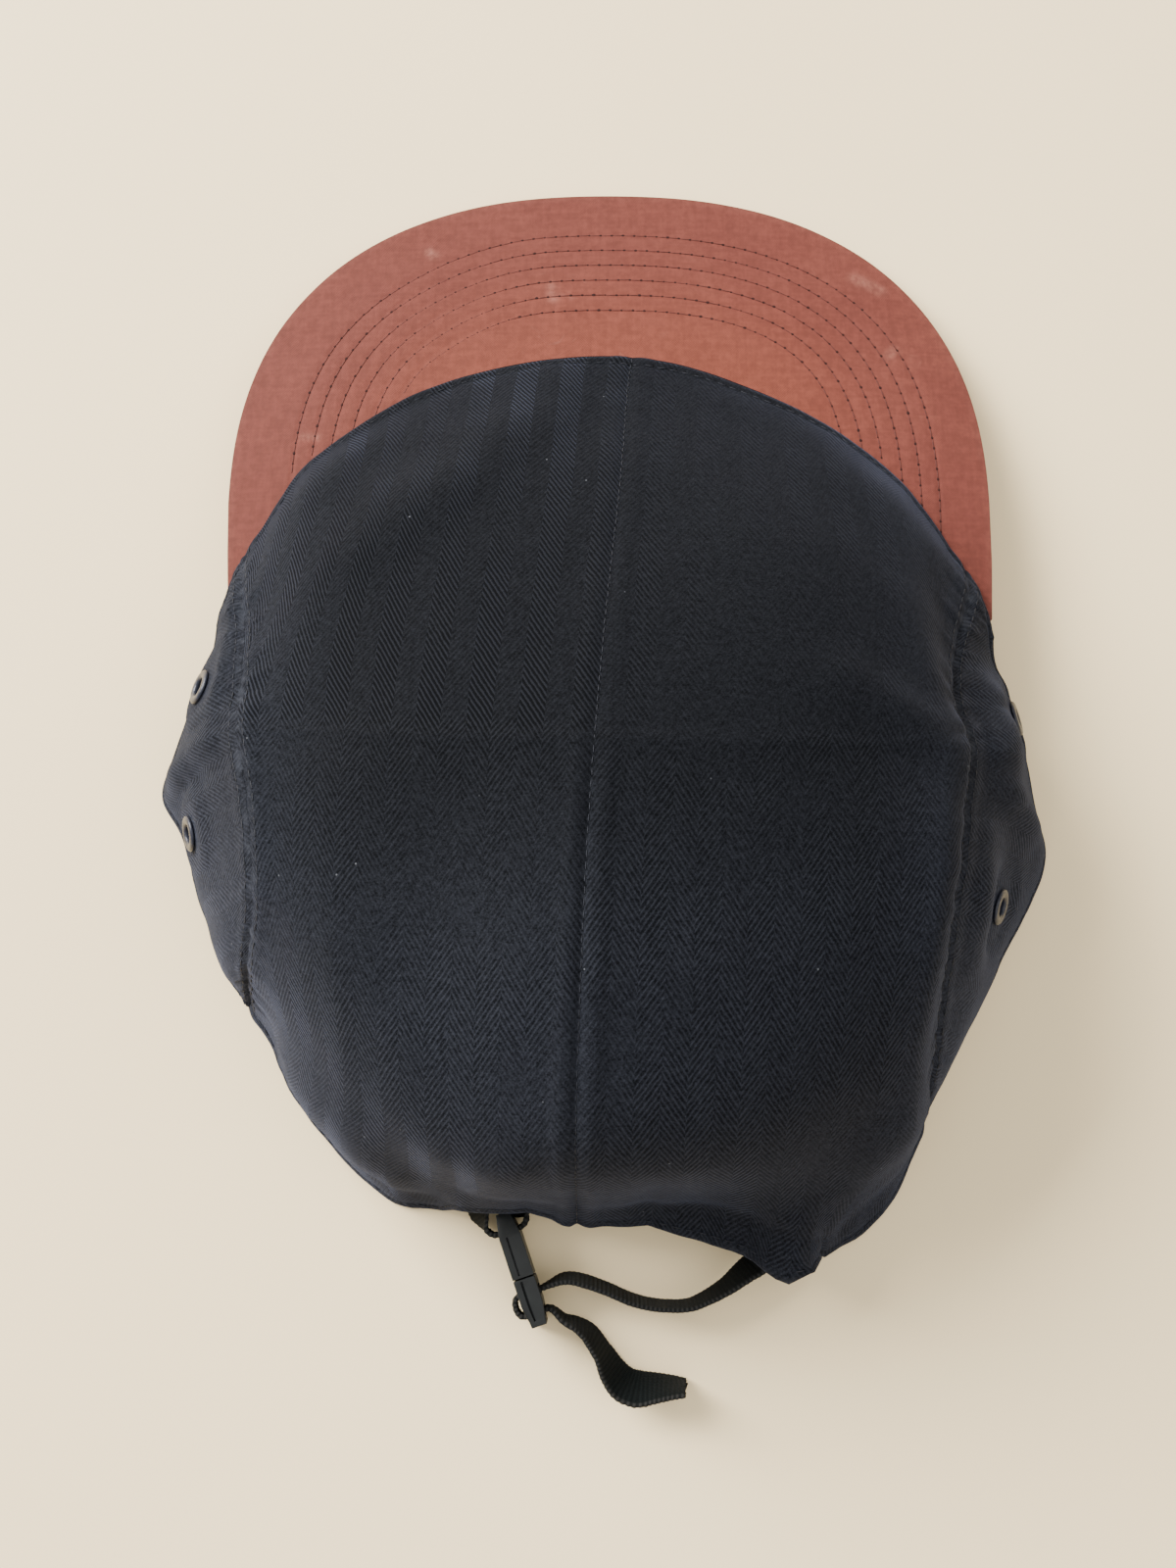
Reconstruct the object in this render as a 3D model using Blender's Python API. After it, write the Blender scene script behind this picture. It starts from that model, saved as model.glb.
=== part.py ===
"""A camp cap lying on a table: herringbone crown, waxed brim, webbing strap with a side-release buckle.

Metres. The brim points toward -Y, the cap's left side is +X, the top is +Z, and it stands on z = 0.
"""
import math

import bmesh
import bpy
from mathutils import Matrix, Vector

for item in list(bpy.data.objects):
    bpy.data.objects.remove(item)

# Crown: half its width at the hem, half its length, and the height of its top
HALF_WIDTH = 0.100
HALF_LENGTH = 0.100
HEIGHT = 0.076
CLOTH = 0.0015
PIECE_GAP = 0.0003
CREASE_SHARPNESS = 0.75
SHOULDER_SHARPNESS = 0.45
SIDE_BULGE = 0.0030

# Arched opening in the back hem, between the two ends of the strap
ARCH_HEIGHT = 0.0135
ARCH_LEFT = 0.34
ARCH_RIGHT = -0.425
ARCH_CORNER = 0.06

# Brim
BRIM_WIDTH = 0.1752
BRIM_REACH = 0.0815
BRIM_FRONT = -0.1415
BRIM_SHIFT = -0.0008
BRIM_THICKNESS = 0.0030
BRIM_SLOPE = 0.277
BRIM_BOW = 0.60
BRIM_DROOP = 0.0066
BRIM_SQUARENESS = 2.42
BRIM_SEAM_DEPTH = 0.0060
BRIM_EDGE_ROUND = 0.0009
BRIM_STATIONS = 44
BRIM_ROWS = (0.0, 0.2, 0.4, 0.6, 0.8)
# Ends of the brim: x in shares of half the brim's width, y in shares of HALF_LENGTH
BRIM_LEFT_END = ((0.985, -0.365), (0.993, -0.470))
BRIM_RIGHT_END = ((-0.995, -0.450), (-0.985, -0.310))

# Eyelets
EYELET_WIDTH = 0.0080
EYELET_HOLE = 0.0040
EYELET_BARREL = 0.0006
EYELET_RIM = 0.0008
EYELET_SIDES = 12
EYELET_MARGIN = 0.0035
EYELET_BLEND = 0.0050

# Webbing: its free tail is measured from the buckle to its cut end
WEB_WIDTH = 0.0100
WEB_THICKNESS = 0.0013
WEB_CLEARANCE = 0.0006
TAIL_LENGTH = 0.0330

# Buckle: its place is the middle of its hem end, in shares of HALF_WIDTH and HALF_LENGTH
BUCKLE_X = 0.226
BUCKLE_Y = 1.003
BUCKLE_TURN = 18.9
BUCKLE_LENGTH = 0.0252
BUCKLE_THICKNESS = 0.0048
BUCKLE_RAIL = 0.0016
BUCKLE_SKIN = 0.0010
BUCKLE_EDGE = 0.0006
SLOT_CLEARANCE = 0.0004
SOCKET_SHARE = 0.57
SOCKET_END_BAR = 0.00315
SOCKET_CROSS_BAR = 0.00135
PLUG_END_BAR = 0.0016
PLUG_MIDDLE_BAR = 0.0025
PLUG_ARM = 0.0022
PLUG_TONGUE = 0.0016
WINDOW_WALL = 0.0018

# Grids of the panels: steps between sections, columns across a main panel and down a side panel, how far
# the tip rows stand from the hems, and the section at which the side panel leaves the brim. MIDDLE is a
# point inside the crown.
STEPS = (3, 4, 4, 4, 4, 4, 3, 3, 4, 3)
ACROSS = 15
DOWN = 10
TIP = 0.10
BRIM_END = 1.4
MIDDLE = Vector((0, 0.1 * HALF_LENGTH, 0.15 * HEIGHT))

# Sections of the crown from the front hem to the back hem. x and y are shares of HALF_WIDTH and
# HALF_LENGTH, z is a share of HEIGHT. The front hem sits on the brim, so its own z isn't used.
SECTIONS = (
    "front_hem", "front_low", "front_mid", "front_high", "crease",
    "top_front", "top_back", "shoulder", "brow", "back_wall", "back_hem",
)
CREASE = SECTIONS.index("crease")
CENTRE = {
    "x": (-0.063, -0.050, -0.030, 0.003, 0.028, 0.042, 0.054, 0.063, 0.065, 0.064, 0.064),
    "y": (-0.956, -0.840, -0.560, -0.220, 0.075, 0.290, 0.540, 0.780, 0.915, 0.975, 1.024),
    "z": (0.160, 0.296, 0.553, 0.796, 0.947, 0.989, 0.992, 0.895, 0.750, 0.447, 0.030),
}
LEFT = {
    "quarter_x": (0.337, 0.325, 0.315, 0.330, 0.345, 0.365, 0.368, 0.355, 0.340, 0.325, 0.301),
    "quarter_y": (-0.905, -0.780, -0.520, -0.200, 0.058, 0.270, 0.520, 0.740, 0.870, 0.940, 0.994),
    "quarter_z": (0.200, 0.342, 0.572, 0.770, 0.875, 0.868, 0.868, 0.796, 0.651, 0.368, 0.010),
    "shoulder_x": (0.660, 0.635, 0.600, 0.575, 0.560, 0.557, 0.550, 0.535, 0.540, 0.550, 0.556),
    "shoulder_y": (-0.715, -0.600, -0.380, -0.160, 0.030, 0.230, 0.470, 0.660, 0.770, 0.855, 0.906),
    "shoulder_z": (0.250, 0.414, 0.572, 0.684, 0.757, 0.796, 0.796, 0.697, 0.553, 0.289, 0.000),
    "seam_x": (0.818, 0.813, 0.790, 0.781, 0.782, 0.746, 0.734, 0.760, 0.776, 0.786, 0.795),
    "seam_y": (-0.475, -0.370, -0.250, -0.100, 0.000, 0.160, 0.350, 0.475, 0.515, 0.540, 0.555),
    "seam_z": (0.260, 0.350, 0.445, 0.560, 0.620, 0.671, 0.645, 0.480, 0.329, 0.197, 0.105),
    "hem_x": (0.823, 0.862, 0.890, 0.960, 1.011, 0.955, 0.905, 0.868, 0.835, 0.815, 0.798),
    "hem_y": (-0.460, -0.335, -0.215, -0.100, 0.065, 0.195, 0.340, 0.450, 0.500, 0.530, 0.550),
    "hem_z": (0.260, 0.250, 0.190, 0.085, 0.000, 0.020, 0.066, 0.092, 0.103, 0.105, 0.105),
}
RIGHT = {
    "quarter_x": (
        -0.400, -0.385, -0.375, -0.365, -0.360, -0.350,
        -0.335, -0.315, -0.300, -0.300, -0.326,
    ),
    "quarter_y": (-0.848, -0.725, -0.480, -0.200, 0.070, 0.280, 0.530, 0.760, 0.890, 0.980, 1.090),
    "quarter_z": (0.210, 0.349, 0.579, 0.770, 0.888, 0.921, 0.921, 0.822, 0.658, 0.368, 0.010),
    "shoulder_x": (
        -0.660, -0.640, -0.630, -0.655, -0.690, -0.680,
        -0.650, -0.625, -0.620, -0.610, -0.595,
    ),
    "shoulder_y": (-0.660, -0.545, -0.360, -0.150, 0.055, 0.270, 0.490, 0.680, 0.800, 0.910, 1.015),
    "shoulder_z": (0.245, 0.408, 0.546, 0.658, 0.711, 0.796, 0.783, 0.658, 0.500, 0.263, 0.010),
    "seam_x": (
        -0.812, -0.810, -0.770, -0.745, -0.765, -0.728,
        -0.698, -0.690, -0.689, -0.694, -0.703,
    ),
    "seam_y": (-0.435, -0.345, -0.235, -0.090, 0.040, 0.250, 0.440, 0.600, 0.690, 0.760, 0.806),
    "seam_z": (0.260, 0.345, 0.420, 0.533, 0.612, 0.697, 0.691, 0.526, 0.388, 0.237, 0.092),
    "hem_x": (
        -0.818, -0.866, -0.886, -0.922, -0.970, -1.006,
        -0.920, -0.803, -0.755, -0.725, -0.706,
    ),
    "hem_y": (-0.420, -0.295, -0.210, -0.110, 0.045, 0.220, 0.405, 0.600, 0.695, 0.760, 0.802),
    "hem_z": (0.260, 0.250, 0.200, 0.145, 0.066, 0.000, 0.039, 0.092, 0.092, 0.092, 0.092),
}

# Folds of the cloth: panel, start x, y and end x, y in shares of HALF_WIDTH and HALF_LENGTH,
# width and height in shares of HALF_WIDTH. A height below zero is a hollow.
FOLDS = (
    ("side_left", 0.83, -0.30, 0.84, 0.00, 0.060, 0.026),
    ("side_left", 0.89, 0.02, 1.00, 0.06, 0.055, 0.024),
    ("side_left", 0.88, 0.13, 0.88, 0.29, 0.055, 0.022),
    ("side_left", 0.90, 0.09, 0.93, 0.10, 0.050, -0.024),
    ("side_right", -0.85, -0.10, -0.86, 0.10, 0.065, 0.042),
    ("side_right", -0.89, 0.13, -0.97, 0.20, 0.055, 0.022),
    ("side_right", -0.80, 0.22, -0.77, 0.48, 0.055, 0.024),
    ("side_right", -0.88, 0.28, -0.84, 0.42, 0.060, -0.022),
    ("main_right", -0.50, -0.08, -0.72, 0.06, 0.070, 0.020),
    ("main_right", -0.68, 0.78, -0.46, 0.96, 0.065, 0.026),
    ("main_right", -0.40, 1.02, -0.53, 1.02, 0.055, 0.024),
    ("main_right", -0.375, 1.00, -0.375, 1.22, 0.090, 0.070),
    ("main_right", -0.10, 1.00, -0.29, 1.05, 0.070, -0.028),
    ("main_left", 0.70, 0.67, 0.61, 0.77, 0.050, 0.026),
    ("main_left", 0.61, 0.77, 0.46, 0.92, 0.050, 0.028),
    ("main_left", 0.33, 0.90, 0.14, 0.96, 0.070, 0.020),
    ("main_left", 0.10, -0.86, 0.32, -0.58, 0.110, 0.016),
    ("main_left", 0.32, -0.58, 0.53, -0.41, 0.110, 0.018),
    ("main_left", 0.42, -0.80, 0.62, -0.52, 0.110, -0.016),
)

# Eyelets: side, place along the sections, share of the way from the seam down to the hem
EYELETS = (
    ("eyelet_left_front", "left", 2.85, 0.42),
    ("eyelet_left_back", "left", 5.00, 0.57),
    ("eyelet_right_front", "right", 3.20, 0.82),
    ("eyelet_right_back", "right", 5.62, 0.52),
)

# Paths of the webbing: x, y, height of its middle in shares of WEB_WIDTH, and lean of its top outward in
# degrees. On the crown x and y are shares of HALF_WIDTH and HALF_LENGTH. At the buckle they are shares of
# BUCKLE_LENGTH from its slot, and on the tail shares of TAIL_LENGTH from the plug's outer slot.
LOOP_ON_CROWN = (
    (0.460, 0.896, 0.62, -20), (0.400, 0.921, 0.62, -20), (0.345, 0.936, 0.62, -20),
    (0.305, 0.970, 0.64, -20),
)
LOOP_TO_BUCKLE = ((0.252, -0.129, 0.68, -10),)
LOOP_FROM_BUCKLE = ((-0.105, -0.202, 0.68, 6), (-0.017, -0.265, 0.66, 10))
LOOP_RETURN = (
    (0.246, 0.953, 0.64, 15), (0.295, 0.932, 0.62, 20), (0.345, 0.915, 0.62, 20),
    (0.400, 0.900, 0.62, 20), (0.460, 0.875, 0.62, 20),
)
STRAP_ON_CROWN = (
    (-0.520, 0.962, 0.62, -16), (-0.465, 0.993, 0.62, -14), (-0.410, 1.014, 0.60, -16),
    (-0.370, 1.052, 0.60, -22), (-0.335, 1.105, 0.60, -30), (-0.303, 1.130, 0.62, -24),
    (-0.264, 1.160, 0.62, -10), (-0.217, 1.187, 0.60, 0), (-0.174, 1.202, 0.60, 0),
    (-0.110, 1.201, 0.60, 0), (-0.056, 1.189, 0.62, 0), (-0.003, 1.167, 0.66, 0),
)
STRAP_TO_BUCKLE = ((-0.464, -0.096, 0.69, 0), (-0.302, -0.115, 0.70, 0))
TAIL = (
    (-0.185, 0.042, 0.70, 0), (-0.270, 0.082, 0.66, 6), (-0.355, 0.145, 0.60, 16),
    (-0.433, 0.255, 0.54, 28), (-0.500, 0.376, 0.46, 44), (-0.573, 0.461, 0.41, 54),
    (-0.670, 0.495, 0.43, 46), (-0.779, 0.490, 0.47, 34), (-0.888, 0.485, 0.50, 24),
    (-0.982, 0.486, 0.52, 16),
)


def object_from(name, verts, faces, material):
    mesh = bpy.data.meshes.new(name)
    mesh.from_pydata([tuple(v) for v in verts], [], faces)
    mesh.validate()
    bm = bmesh.new()
    bm.from_mesh(mesh)
    bmesh.ops.recalc_face_normals(bm, faces=bm.faces)
    bm.to_mesh(mesh)
    bm.free()
    mesh.materials.append(material)
    obj = bpy.data.objects.new(name, mesh)
    bpy.context.scene.collection.objects.link(obj)
    return obj


def make_material(name, colour, roughness, metallic=0.0):
    material = bpy.data.materials.new(name)
    material.use_nodes = True
    shader = material.node_tree.nodes["Principled BSDF"]
    shader.inputs["Base Color"].default_value = (*colour, 1.0)
    shader.inputs["Roughness"].default_value = roughness
    shader.inputs["Metallic"].default_value = metallic
    return material


def weights(t):
    """Catmull-Rom weights of the four points around a place."""
    return (
        (-t ** 3 + 2 * t ** 2 - t) / 2,
        (3 * t ** 3 - 5 * t ** 2 + 2) / 2,
        (-3 * t ** 3 + 4 * t ** 2 + t) / 2,
        (t ** 3 - t ** 2) / 2,
    )


def along(points, place, corner=None, sharpness=1.0):
    """The smooth curve through the points at a place counted in points, with a corner at one of them."""
    last = len(points) - 1
    start = max(0, min(int(place), last - 1))
    t = place - start
    four = []
    for index in range(start - 1, start + 3):
        near = min(max(index, 0), last)
        point = points[near].copy()
        if index < 0:
            point = 2 * points[0] - points[1]
        if index > last:
            point = 2 * points[last] - points[last - 1]
        if corner is not None and (index - corner) * (start + 0.5 - corner) < 0:
            straight = 2 * points[corner] - points[2 * corner - index]
            point = point.lerp(straight, sharpness)
        four.append(point)
    return sum((w * p for w, p in zip(weights(t), four)), Vector((0, 0, 0)))


def smooth(value):
    value = min(max(value, 0.0), 1.0)
    return value * value * (3 - 2 * value)


def brim_under(x, y):
    run = max(y - BRIM_FRONT, 0.0)
    across = (x - BRIM_SHIFT) / (BRIM_WIDTH / 2)
    return BRIM_SLOPE * run - BRIM_BOW * run * run - BRIM_DROOP * across * across


def brim_seat(x, y):
    """The height at which the crown's front hem sits on the brim."""
    return brim_under(x, y) + BRIM_THICKNESS + PIECE_GAP


def arch(x):
    share = x / HALF_WIDTH
    left = smooth((ARCH_LEFT - share) / ARCH_CORNER + 0.5)
    right = smooth((share - ARCH_RIGHT) / ARCH_CORNER + 0.5)
    return ARCH_HEIGHT * left * right


def column(table, name):
    """The table's points in that column, in metres."""
    prefix = name + "_" if name else ""
    points = []
    for x, y, z in zip(table[prefix + "x"], table[prefix + "y"], table[prefix + "z"]):
        points.append(Vector((x * HALF_WIDTH, y * HALF_LENGTH, z * HEIGHT)))
    if name != "hem":
        points[0].z = brim_seat(points[0].x, points[0].y)
        points[-1].z += arch(points[-1].x)
    else:
        points[0].z = brim_seat(points[0].x, points[0].y)
        points[1].z = max(points[1].z, brim_seat(points[1].x, points[1].y))
    return points


CENTRE_LINE = column(CENTRE, "")
SIDES = {"left": LEFT, "right": RIGHT}
LINES = {
    side: {name: column(table, name) for name in ("quarter", "shoulder", "seam", "hem")}
    for side, table in SIDES.items()
}


def section_point(points, row):
    return along(points, row, CREASE, CREASE_SHARPNESS)


def main_surface(side, row, across):
    """A point of a main panel: row counts sections from the front, across runs from centre (0) to seam (3)."""
    other = "right" if side == "left" else "left"
    names = ("quarter", "shoulder", "seam")
    five = [section_point(LINES[other]["quarter"], row), section_point(CENTRE_LINE, row)]
    five += [section_point(LINES[side][name], row) for name in names]
    sharpness = SHOULDER_SHARPNESS * smooth((row - 3) / 1.5) * smooth(9 - row)
    point = along(five, across + 1, 3, sharpness)
    if row < 1:
        point.z = max(point.z, brim_seat(point.x, point.y) + row * CLOTH)
    if row > 9:
        low = [spot - Vector((0, 0, arch(spot.x) * (row - 9))) for spot in five]
        point.z = max(along(low, across + 1).z, 0.0) + arch(point.x) * (row - 9)
    return point


def side_surface(side, row, down):
    """A point of a side panel: row as above, down goes from 0 (side seam) to 1 (hem)."""
    top = section_point(LINES[side]["seam"], row)
    bottom = along(LINES[side]["hem"], row)
    after = section_point(LINES[side]["seam"], min(row + TIP, len(STEPS)))
    before = section_point(LINES[side]["seam"], max(row - TIP, 0))
    out = (after - before).cross(bottom - top)
    if out.dot(Vector((top.x, 0, 0))) < 0:
        out = -out
    height = (bottom - top).length
    bulge = SIDE_BULGE * 4 * down * (1 - down) * min(height / (0.5 * HEIGHT), 1.0)
    return top.lerp(bottom, down) + out.normalized() * bulge


def fold_height(panel, point):
    """How far the folds of that panel lift a point from its plain surface."""
    lift = 0.0
    for name, x0, y0, x1, y1, width, height in FOLDS:
        if name != panel:
            continue
        start = Vector((x0 * HALF_WIDTH, y0 * HALF_LENGTH))
        run = Vector((x1 * HALF_WIDTH, y1 * HALF_LENGTH)) - start
        here = Vector((point.x, point.y)) - start
        share = min(max(here.dot(run) / run.length_squared, 0.0), 1.0)
        away = (here - share * run).length / (width * HALF_WIDTH)
        ends = 0.35 + 0.65 * math.sin(math.pi * min(max(share, 0.12), 0.88))
        lift += height * HALF_WIDTH * ends * math.exp(-1.4 * away * away)
    return lift


def grid_normals(grid):
    rows, columns = len(grid), len(grid[0])
    normals = []
    for i in range(rows):
        line = []
        for j in range(columns):
            down = grid[min(i + 1, rows - 1)][j] - grid[max(i - 1, 0)][j]
            right = grid[i][min(j + 1, columns - 1)] - grid[i][max(j - 1, 0)]
            line.append(down.cross(right).normalized())
        normals.append(line)
    return normals


def outward(grid, normals, middle):
    """Turn the normals so that they point away from the inside of the crown."""
    for points, line in zip(grid, normals):
        for j, (point, normal) in enumerate(zip(points, line)):
            if normal.dot(point - middle) < 0:
                line[j] = -normal


def all_rows():
    """Where the grids of the panels have their rows. The side panels leave out the first and the last."""
    rows = []
    for index, count in enumerate(STEPS):
        rows += [index + k / count for k in range(count)]
    return [0, TIP] + rows[1:] + [len(STEPS) - TIP, len(STEPS)]


ROWS = all_rows()
SIDE_ROWS = ROWS[1:-1]


def raised(panel, grid):
    normals = grid_normals(grid)
    outward(grid, normals, MIDDLE)
    last = len(grid[0]) - 1
    for i, line in enumerate(grid):
        for j, point in enumerate(line):
            from_seam, from_end = min(j, last - j), i
            if panel.startswith("side"):
                from_seam, from_end = j, min(i, len(grid) - 1 - i)
            free = smooth(from_end / 2) * smooth(from_seam / 2)
            line[j] = point + normals[i][j] * fold_height(panel, point) * free
            line[j].z = max(line[j].z, 0.0)
    return grid


def main_grid(side):
    grid = [[main_surface(side, row, 3 * j / ACROSS) for j in range(ACROSS + 1)] for row in ROWS]
    return raised("main_" + side, grid)


def side_grid(side):
    grid = [[side_surface(side, row, j / DOWN) for j in range(DOWN + 1)] for row in SIDE_ROWS]
    return raised("side_" + side, grid)


def eyelet_places():
    found = {}
    for name, side, row, down in EYELETS:
        step = 0.12
        here = side_surface(side, row, down)
        ahead = side_surface(side, row + step, down) - side_surface(side, row - step, down)
        lower = side_surface(side, row, down + step) - side_surface(side, row, down - step)
        normal = ahead.cross(lower).normalized()
        if normal.dot(here - MIDDLE) < 0:
            normal = -normal
        found[name] = (side, here + normal * fold_height("side_" + side, here), normal)
    return found


EYELET_PLACES = eyelet_places()


def flattened(side, grid, normals):
    """Make the cloth flat around each eyelet of that side."""
    for at_side, centre, normal in EYELET_PLACES.values():
        if at_side != side:
            continue
        for i, line in enumerate(grid):
            for j, point in enumerate(line):
                height = (point - centre).dot(normal)
                away = (point - centre - height * normal).length
                if abs(height) > 3 * EYELET_HOLE or j == 0 or j == len(line) - 1:
                    continue
                share = 1 - smooth((away - EYELET_WIDTH / 2 - EYELET_MARGIN) / EYELET_BLEND)
                line[j] = point - normal * height * share
                normals[i][j] = normals[i][j].lerp(normal, share).normalized()


def wall(name, outer, inner, material):
    """A closed cloth wall between an outer and an inner grid of points."""
    rows, columns = len(outer), len(outer[0])
    verts = [p for line in outer for p in line] + [p for line in inner for p in line]
    base = rows * columns
    faces = []
    for i in range(rows - 1):
        for j in range(columns - 1):
            a, b = i * columns + j, i * columns + j + 1
            c, d = a + columns, b + columns
            faces.append((a, b, d, c))
            faces.append((base + a, base + c, base + d, base + b))
    for i in range(rows - 1):
        for j in (0, columns - 1):
            a, c = i * columns + j, (i + 1) * columns + j
            faces.append((a, c, base + c, base + a) if j == 0 else (c, a, base + a, base + c))
    for j in range(columns - 1):
        for i in (0, rows - 1):
            a, b = i * columns + j, i * columns + j + 1
            faces.append((b, a, base + a, base + b) if i == 0 else (a, b, base + b, base + a))
    return object_from(name, verts, faces, material)


def hem_inner(point, normal):
    """The inner edge of a hem, one cloth's thickness in and level with its outer edge."""
    flat = Vector((normal.x, normal.y, 0))
    reach = CLOTH / max(flat.length, 0.55)
    return point - flat.normalized() * reach


def build_crown(cloth):
    mains = {side: main_grid(side) for side in SIDES}
    sides = {side: side_grid(side) for side in SIDES}
    main_normals = {side: grid_normals(mains[side]) for side in SIDES}
    side_normals = {side: grid_normals(sides[side]) for side in SIDES}
    for side in SIDES:
        outward(mains[side], main_normals[side], MIDDLE)
        outward(sides[side], side_normals[side], MIDDLE)
        flattened(side, sides[side], side_normals[side])
    for i in range(len(ROWS)):
        shared = (main_normals["left"][i][0] + main_normals["right"][i][0]).normalized()
        main_normals["left"][i][0] = shared
        main_normals["right"][i][0] = shared
    for side in SIDES:
        for k in range(len(SIDE_ROWS)):
            shared = (main_normals[side][k + 1][-1] + side_normals[side][k][0]).normalized()
            side_normals[side][k][0] = shared
            main_normals[side][k + 1][-1] = shared
    for side in SIDES:
        for label, grid, normals, steps in (
            ("main_panel_" + side, mains[side], main_normals[side], ROWS),
            ("side_panel_" + side, sides[side], side_normals[side], SIDE_ROWS),
        ):
            shift_edges(label, grid)
            inner = [[p - n * CLOTH for p, n in zip(line, ns)] for line, ns in zip(grid, normals)]
            close_hems(label, grid, normals, inner, steps)
            cloth_wall = wall(label, grid, inner, cloth)
            if label.startswith("side"):
                cut_eyelet_holes(side, cloth_wall)


def shift_edges(label, grid):
    """Hold each panel's edge half a gap back from the seam."""
    for line in grid:
        line[0] = line[0] + (line[1] - line[0]).normalized() * PIECE_GAP / 2
        if label.startswith("main"):
            line[-1] = line[-1] + (line[-2] - line[-1]).normalized() * PIECE_GAP / 2


def close_hems(label, grid, normals, inner, rows):
    if label.startswith("main"):
        for j, point in enumerate(grid[0]):
            inner[0][j] = hem_inner(point, normals[0][j])
            point.z = brim_seat(point.x, point.y)
            inner[0][j].z = brim_seat(inner[0][j].x, inner[0][j].y)
        for j, point in enumerate(grid[-1]):
            inner[-1][j] = hem_inner(point, normals[-1][j])
        for i, row in enumerate(rows):
            if row < 1:
                for edge in inner[i]:
                    edge.z = max(edge.z, brim_seat(edge.x, edge.y))
        return
    for i, line in enumerate(grid):
        point = line[-1]
        inner[i][-1] = hem_inner(point, normals[i][-1])
        if rows[i] < BRIM_END:
            for edge in line + inner[i]:
                edge.z = max(edge.z, brim_seat(edge.x, edge.y))


def cut_eyelet_holes(side, cloth_wall):
    for name, (at_side, centre, normal) in EYELET_PLACES.items():
        if at_side != side:
            continue
        radius = EYELET_HOLE / 2 + EYELET_BARREL + PIECE_GAP
        turn = normal.to_track_quat("Z", "Y")
        verts = []
        for height in (-3 * CLOTH, 2 * CLOTH):
            for k in range(EYELET_SIDES):
                angle = 2 * math.pi * k / EYELET_SIDES
                spoke = Vector((radius * math.cos(angle), radius * math.sin(angle), height))
                verts.append(centre + turn @ spoke)
        count = EYELET_SIDES
        faces = [tuple(range(count))[::-1], tuple(range(count, 2 * count))]
        for k in range(count):
            after = (k + 1) % count
            faces.append((k, after, count + after, count + k))
        cutter = object_from("cut_" + name, verts, faces, cloth_wall.data.materials[0])
        cutter.hide_render = True
        cutter.display_type = "WIRE"
        cut = cloth_wall.modifiers.new("hole for " + name, "BOOLEAN")
        cut.operation = "DIFFERENCE"
        cut.solver = "EXACT"
        cut.object = cutter


def build_eyelets(metal):
    """Each eyelet is one ring: a domed rim outside, a barrel through the cloth and a rim inside."""
    hole = EYELET_HOLE / 2
    barrel = hole + EYELET_BARREL
    rim = EYELET_WIDTH / 2
    out, back = PIECE_GAP, -CLOTH - PIECE_GAP
    profile = (
        (hole, out + 0.6 * EYELET_RIM), (hole + 0.25 * (rim - hole), out + EYELET_RIM),
        (hole + 0.65 * (rim - hole), out + EYELET_RIM), (rim, out + 0.35 * EYELET_RIM), (rim, out),
        (barrel, out), (barrel, back), (0.92 * rim, back), (0.92 * rim, back - 0.6 * EYELET_RIM),
        (hole, back - 0.6 * EYELET_RIM),
    )
    for name, (side, centre, normal) in EYELET_PLACES.items():
        turn = normal.to_track_quat("Z", "Y")
        verts = []
        for k in range(EYELET_SIDES):
            angle = 2 * math.pi * k / EYELET_SIDES
            for radius, height in profile:
                spoke = Vector((radius * math.cos(angle), radius * math.sin(angle), height))
                verts.append(centre + turn @ spoke)
        count = len(profile)
        faces = []
        for k in range(EYELET_SIDES):
            after = (k + 1) % EYELET_SIDES
            for m in range(count):
                n = (m + 1) % count
                faces.append((k * count + m, after * count + m, after * count + n, k * count + n))
        object_from(name, verts, faces, metal)


def resample(points, count):
    """Points at even steps along a line of points."""
    lengths = [0.0]
    for a, b in zip(points, points[1:]):
        lengths.append(lengths[-1] + (b - a).length)
    result = []
    for k in range(count + 1):
        goal = lengths[-1] * k / count
        index = 0
        while index < len(points) - 2 and lengths[index + 1] < goal:
            index += 1
        span = lengths[index + 1] - lengths[index]
        result.append(points[index].lerp(points[index + 1], (goal - lengths[index]) / span))
    return result


def brim_outer_edge():
    """Horn to horn round the front: a squared-off half oval with nearly straight sides behind it."""
    centre_y = BRIM_FRONT + BRIM_REACH
    half = BRIM_WIDTH / 2
    edge = [Vector((half * x + BRIM_SHIFT, y * HALF_LENGTH, 0)) for x, y in BRIM_LEFT_END]
    steps = 60
    for k in range(steps + 1):
        angle = math.pi * k / steps
        x = math.copysign(abs(math.cos(angle)) ** (2 / BRIM_SQUARENESS), math.cos(angle))
        y = math.sin(angle) ** (2 / BRIM_SQUARENESS) if 0 < k < steps else 0.0
        edge.append(Vector((half * x + BRIM_SHIFT, centre_y - BRIM_REACH * y, 0)))
    edge += [Vector((half * x + BRIM_SHIFT, y * HALF_LENGTH, 0)) for x, y in BRIM_RIGHT_END]
    return edge


def brim_inner_edge():
    """The crown's front hem from horn to horn, moved in by the depth of the seam."""
    line = []
    for side in ("left", "right"):
        part = [along(LINES[side]["hem"], row) for row in (1.0, 0.75, 0.5, 0.25)]
        part += [main_surface(side, 0.0, 3 - 3 * k / 12) for k in range(13)]
        line = line + part if side == "left" else line + part[::-1][1:]
    flat = [Vector((p.x, p.y, 0)) for p in line]
    even = resample(flat, 60)
    moved = []
    for k, point in enumerate(even):
        run = even[min(k + 1, len(even) - 1)] - even[max(k - 1, 0)]
        inward = Vector((run.y, -run.x, 0)).normalized()
        if inward.dot(Vector((0, 0.2 * HALF_LENGTH, 0)) - point) < 0:
            inward = -inward
        moved.append(point + inward * BRIM_SEAM_DEPTH)
    return moved


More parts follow.
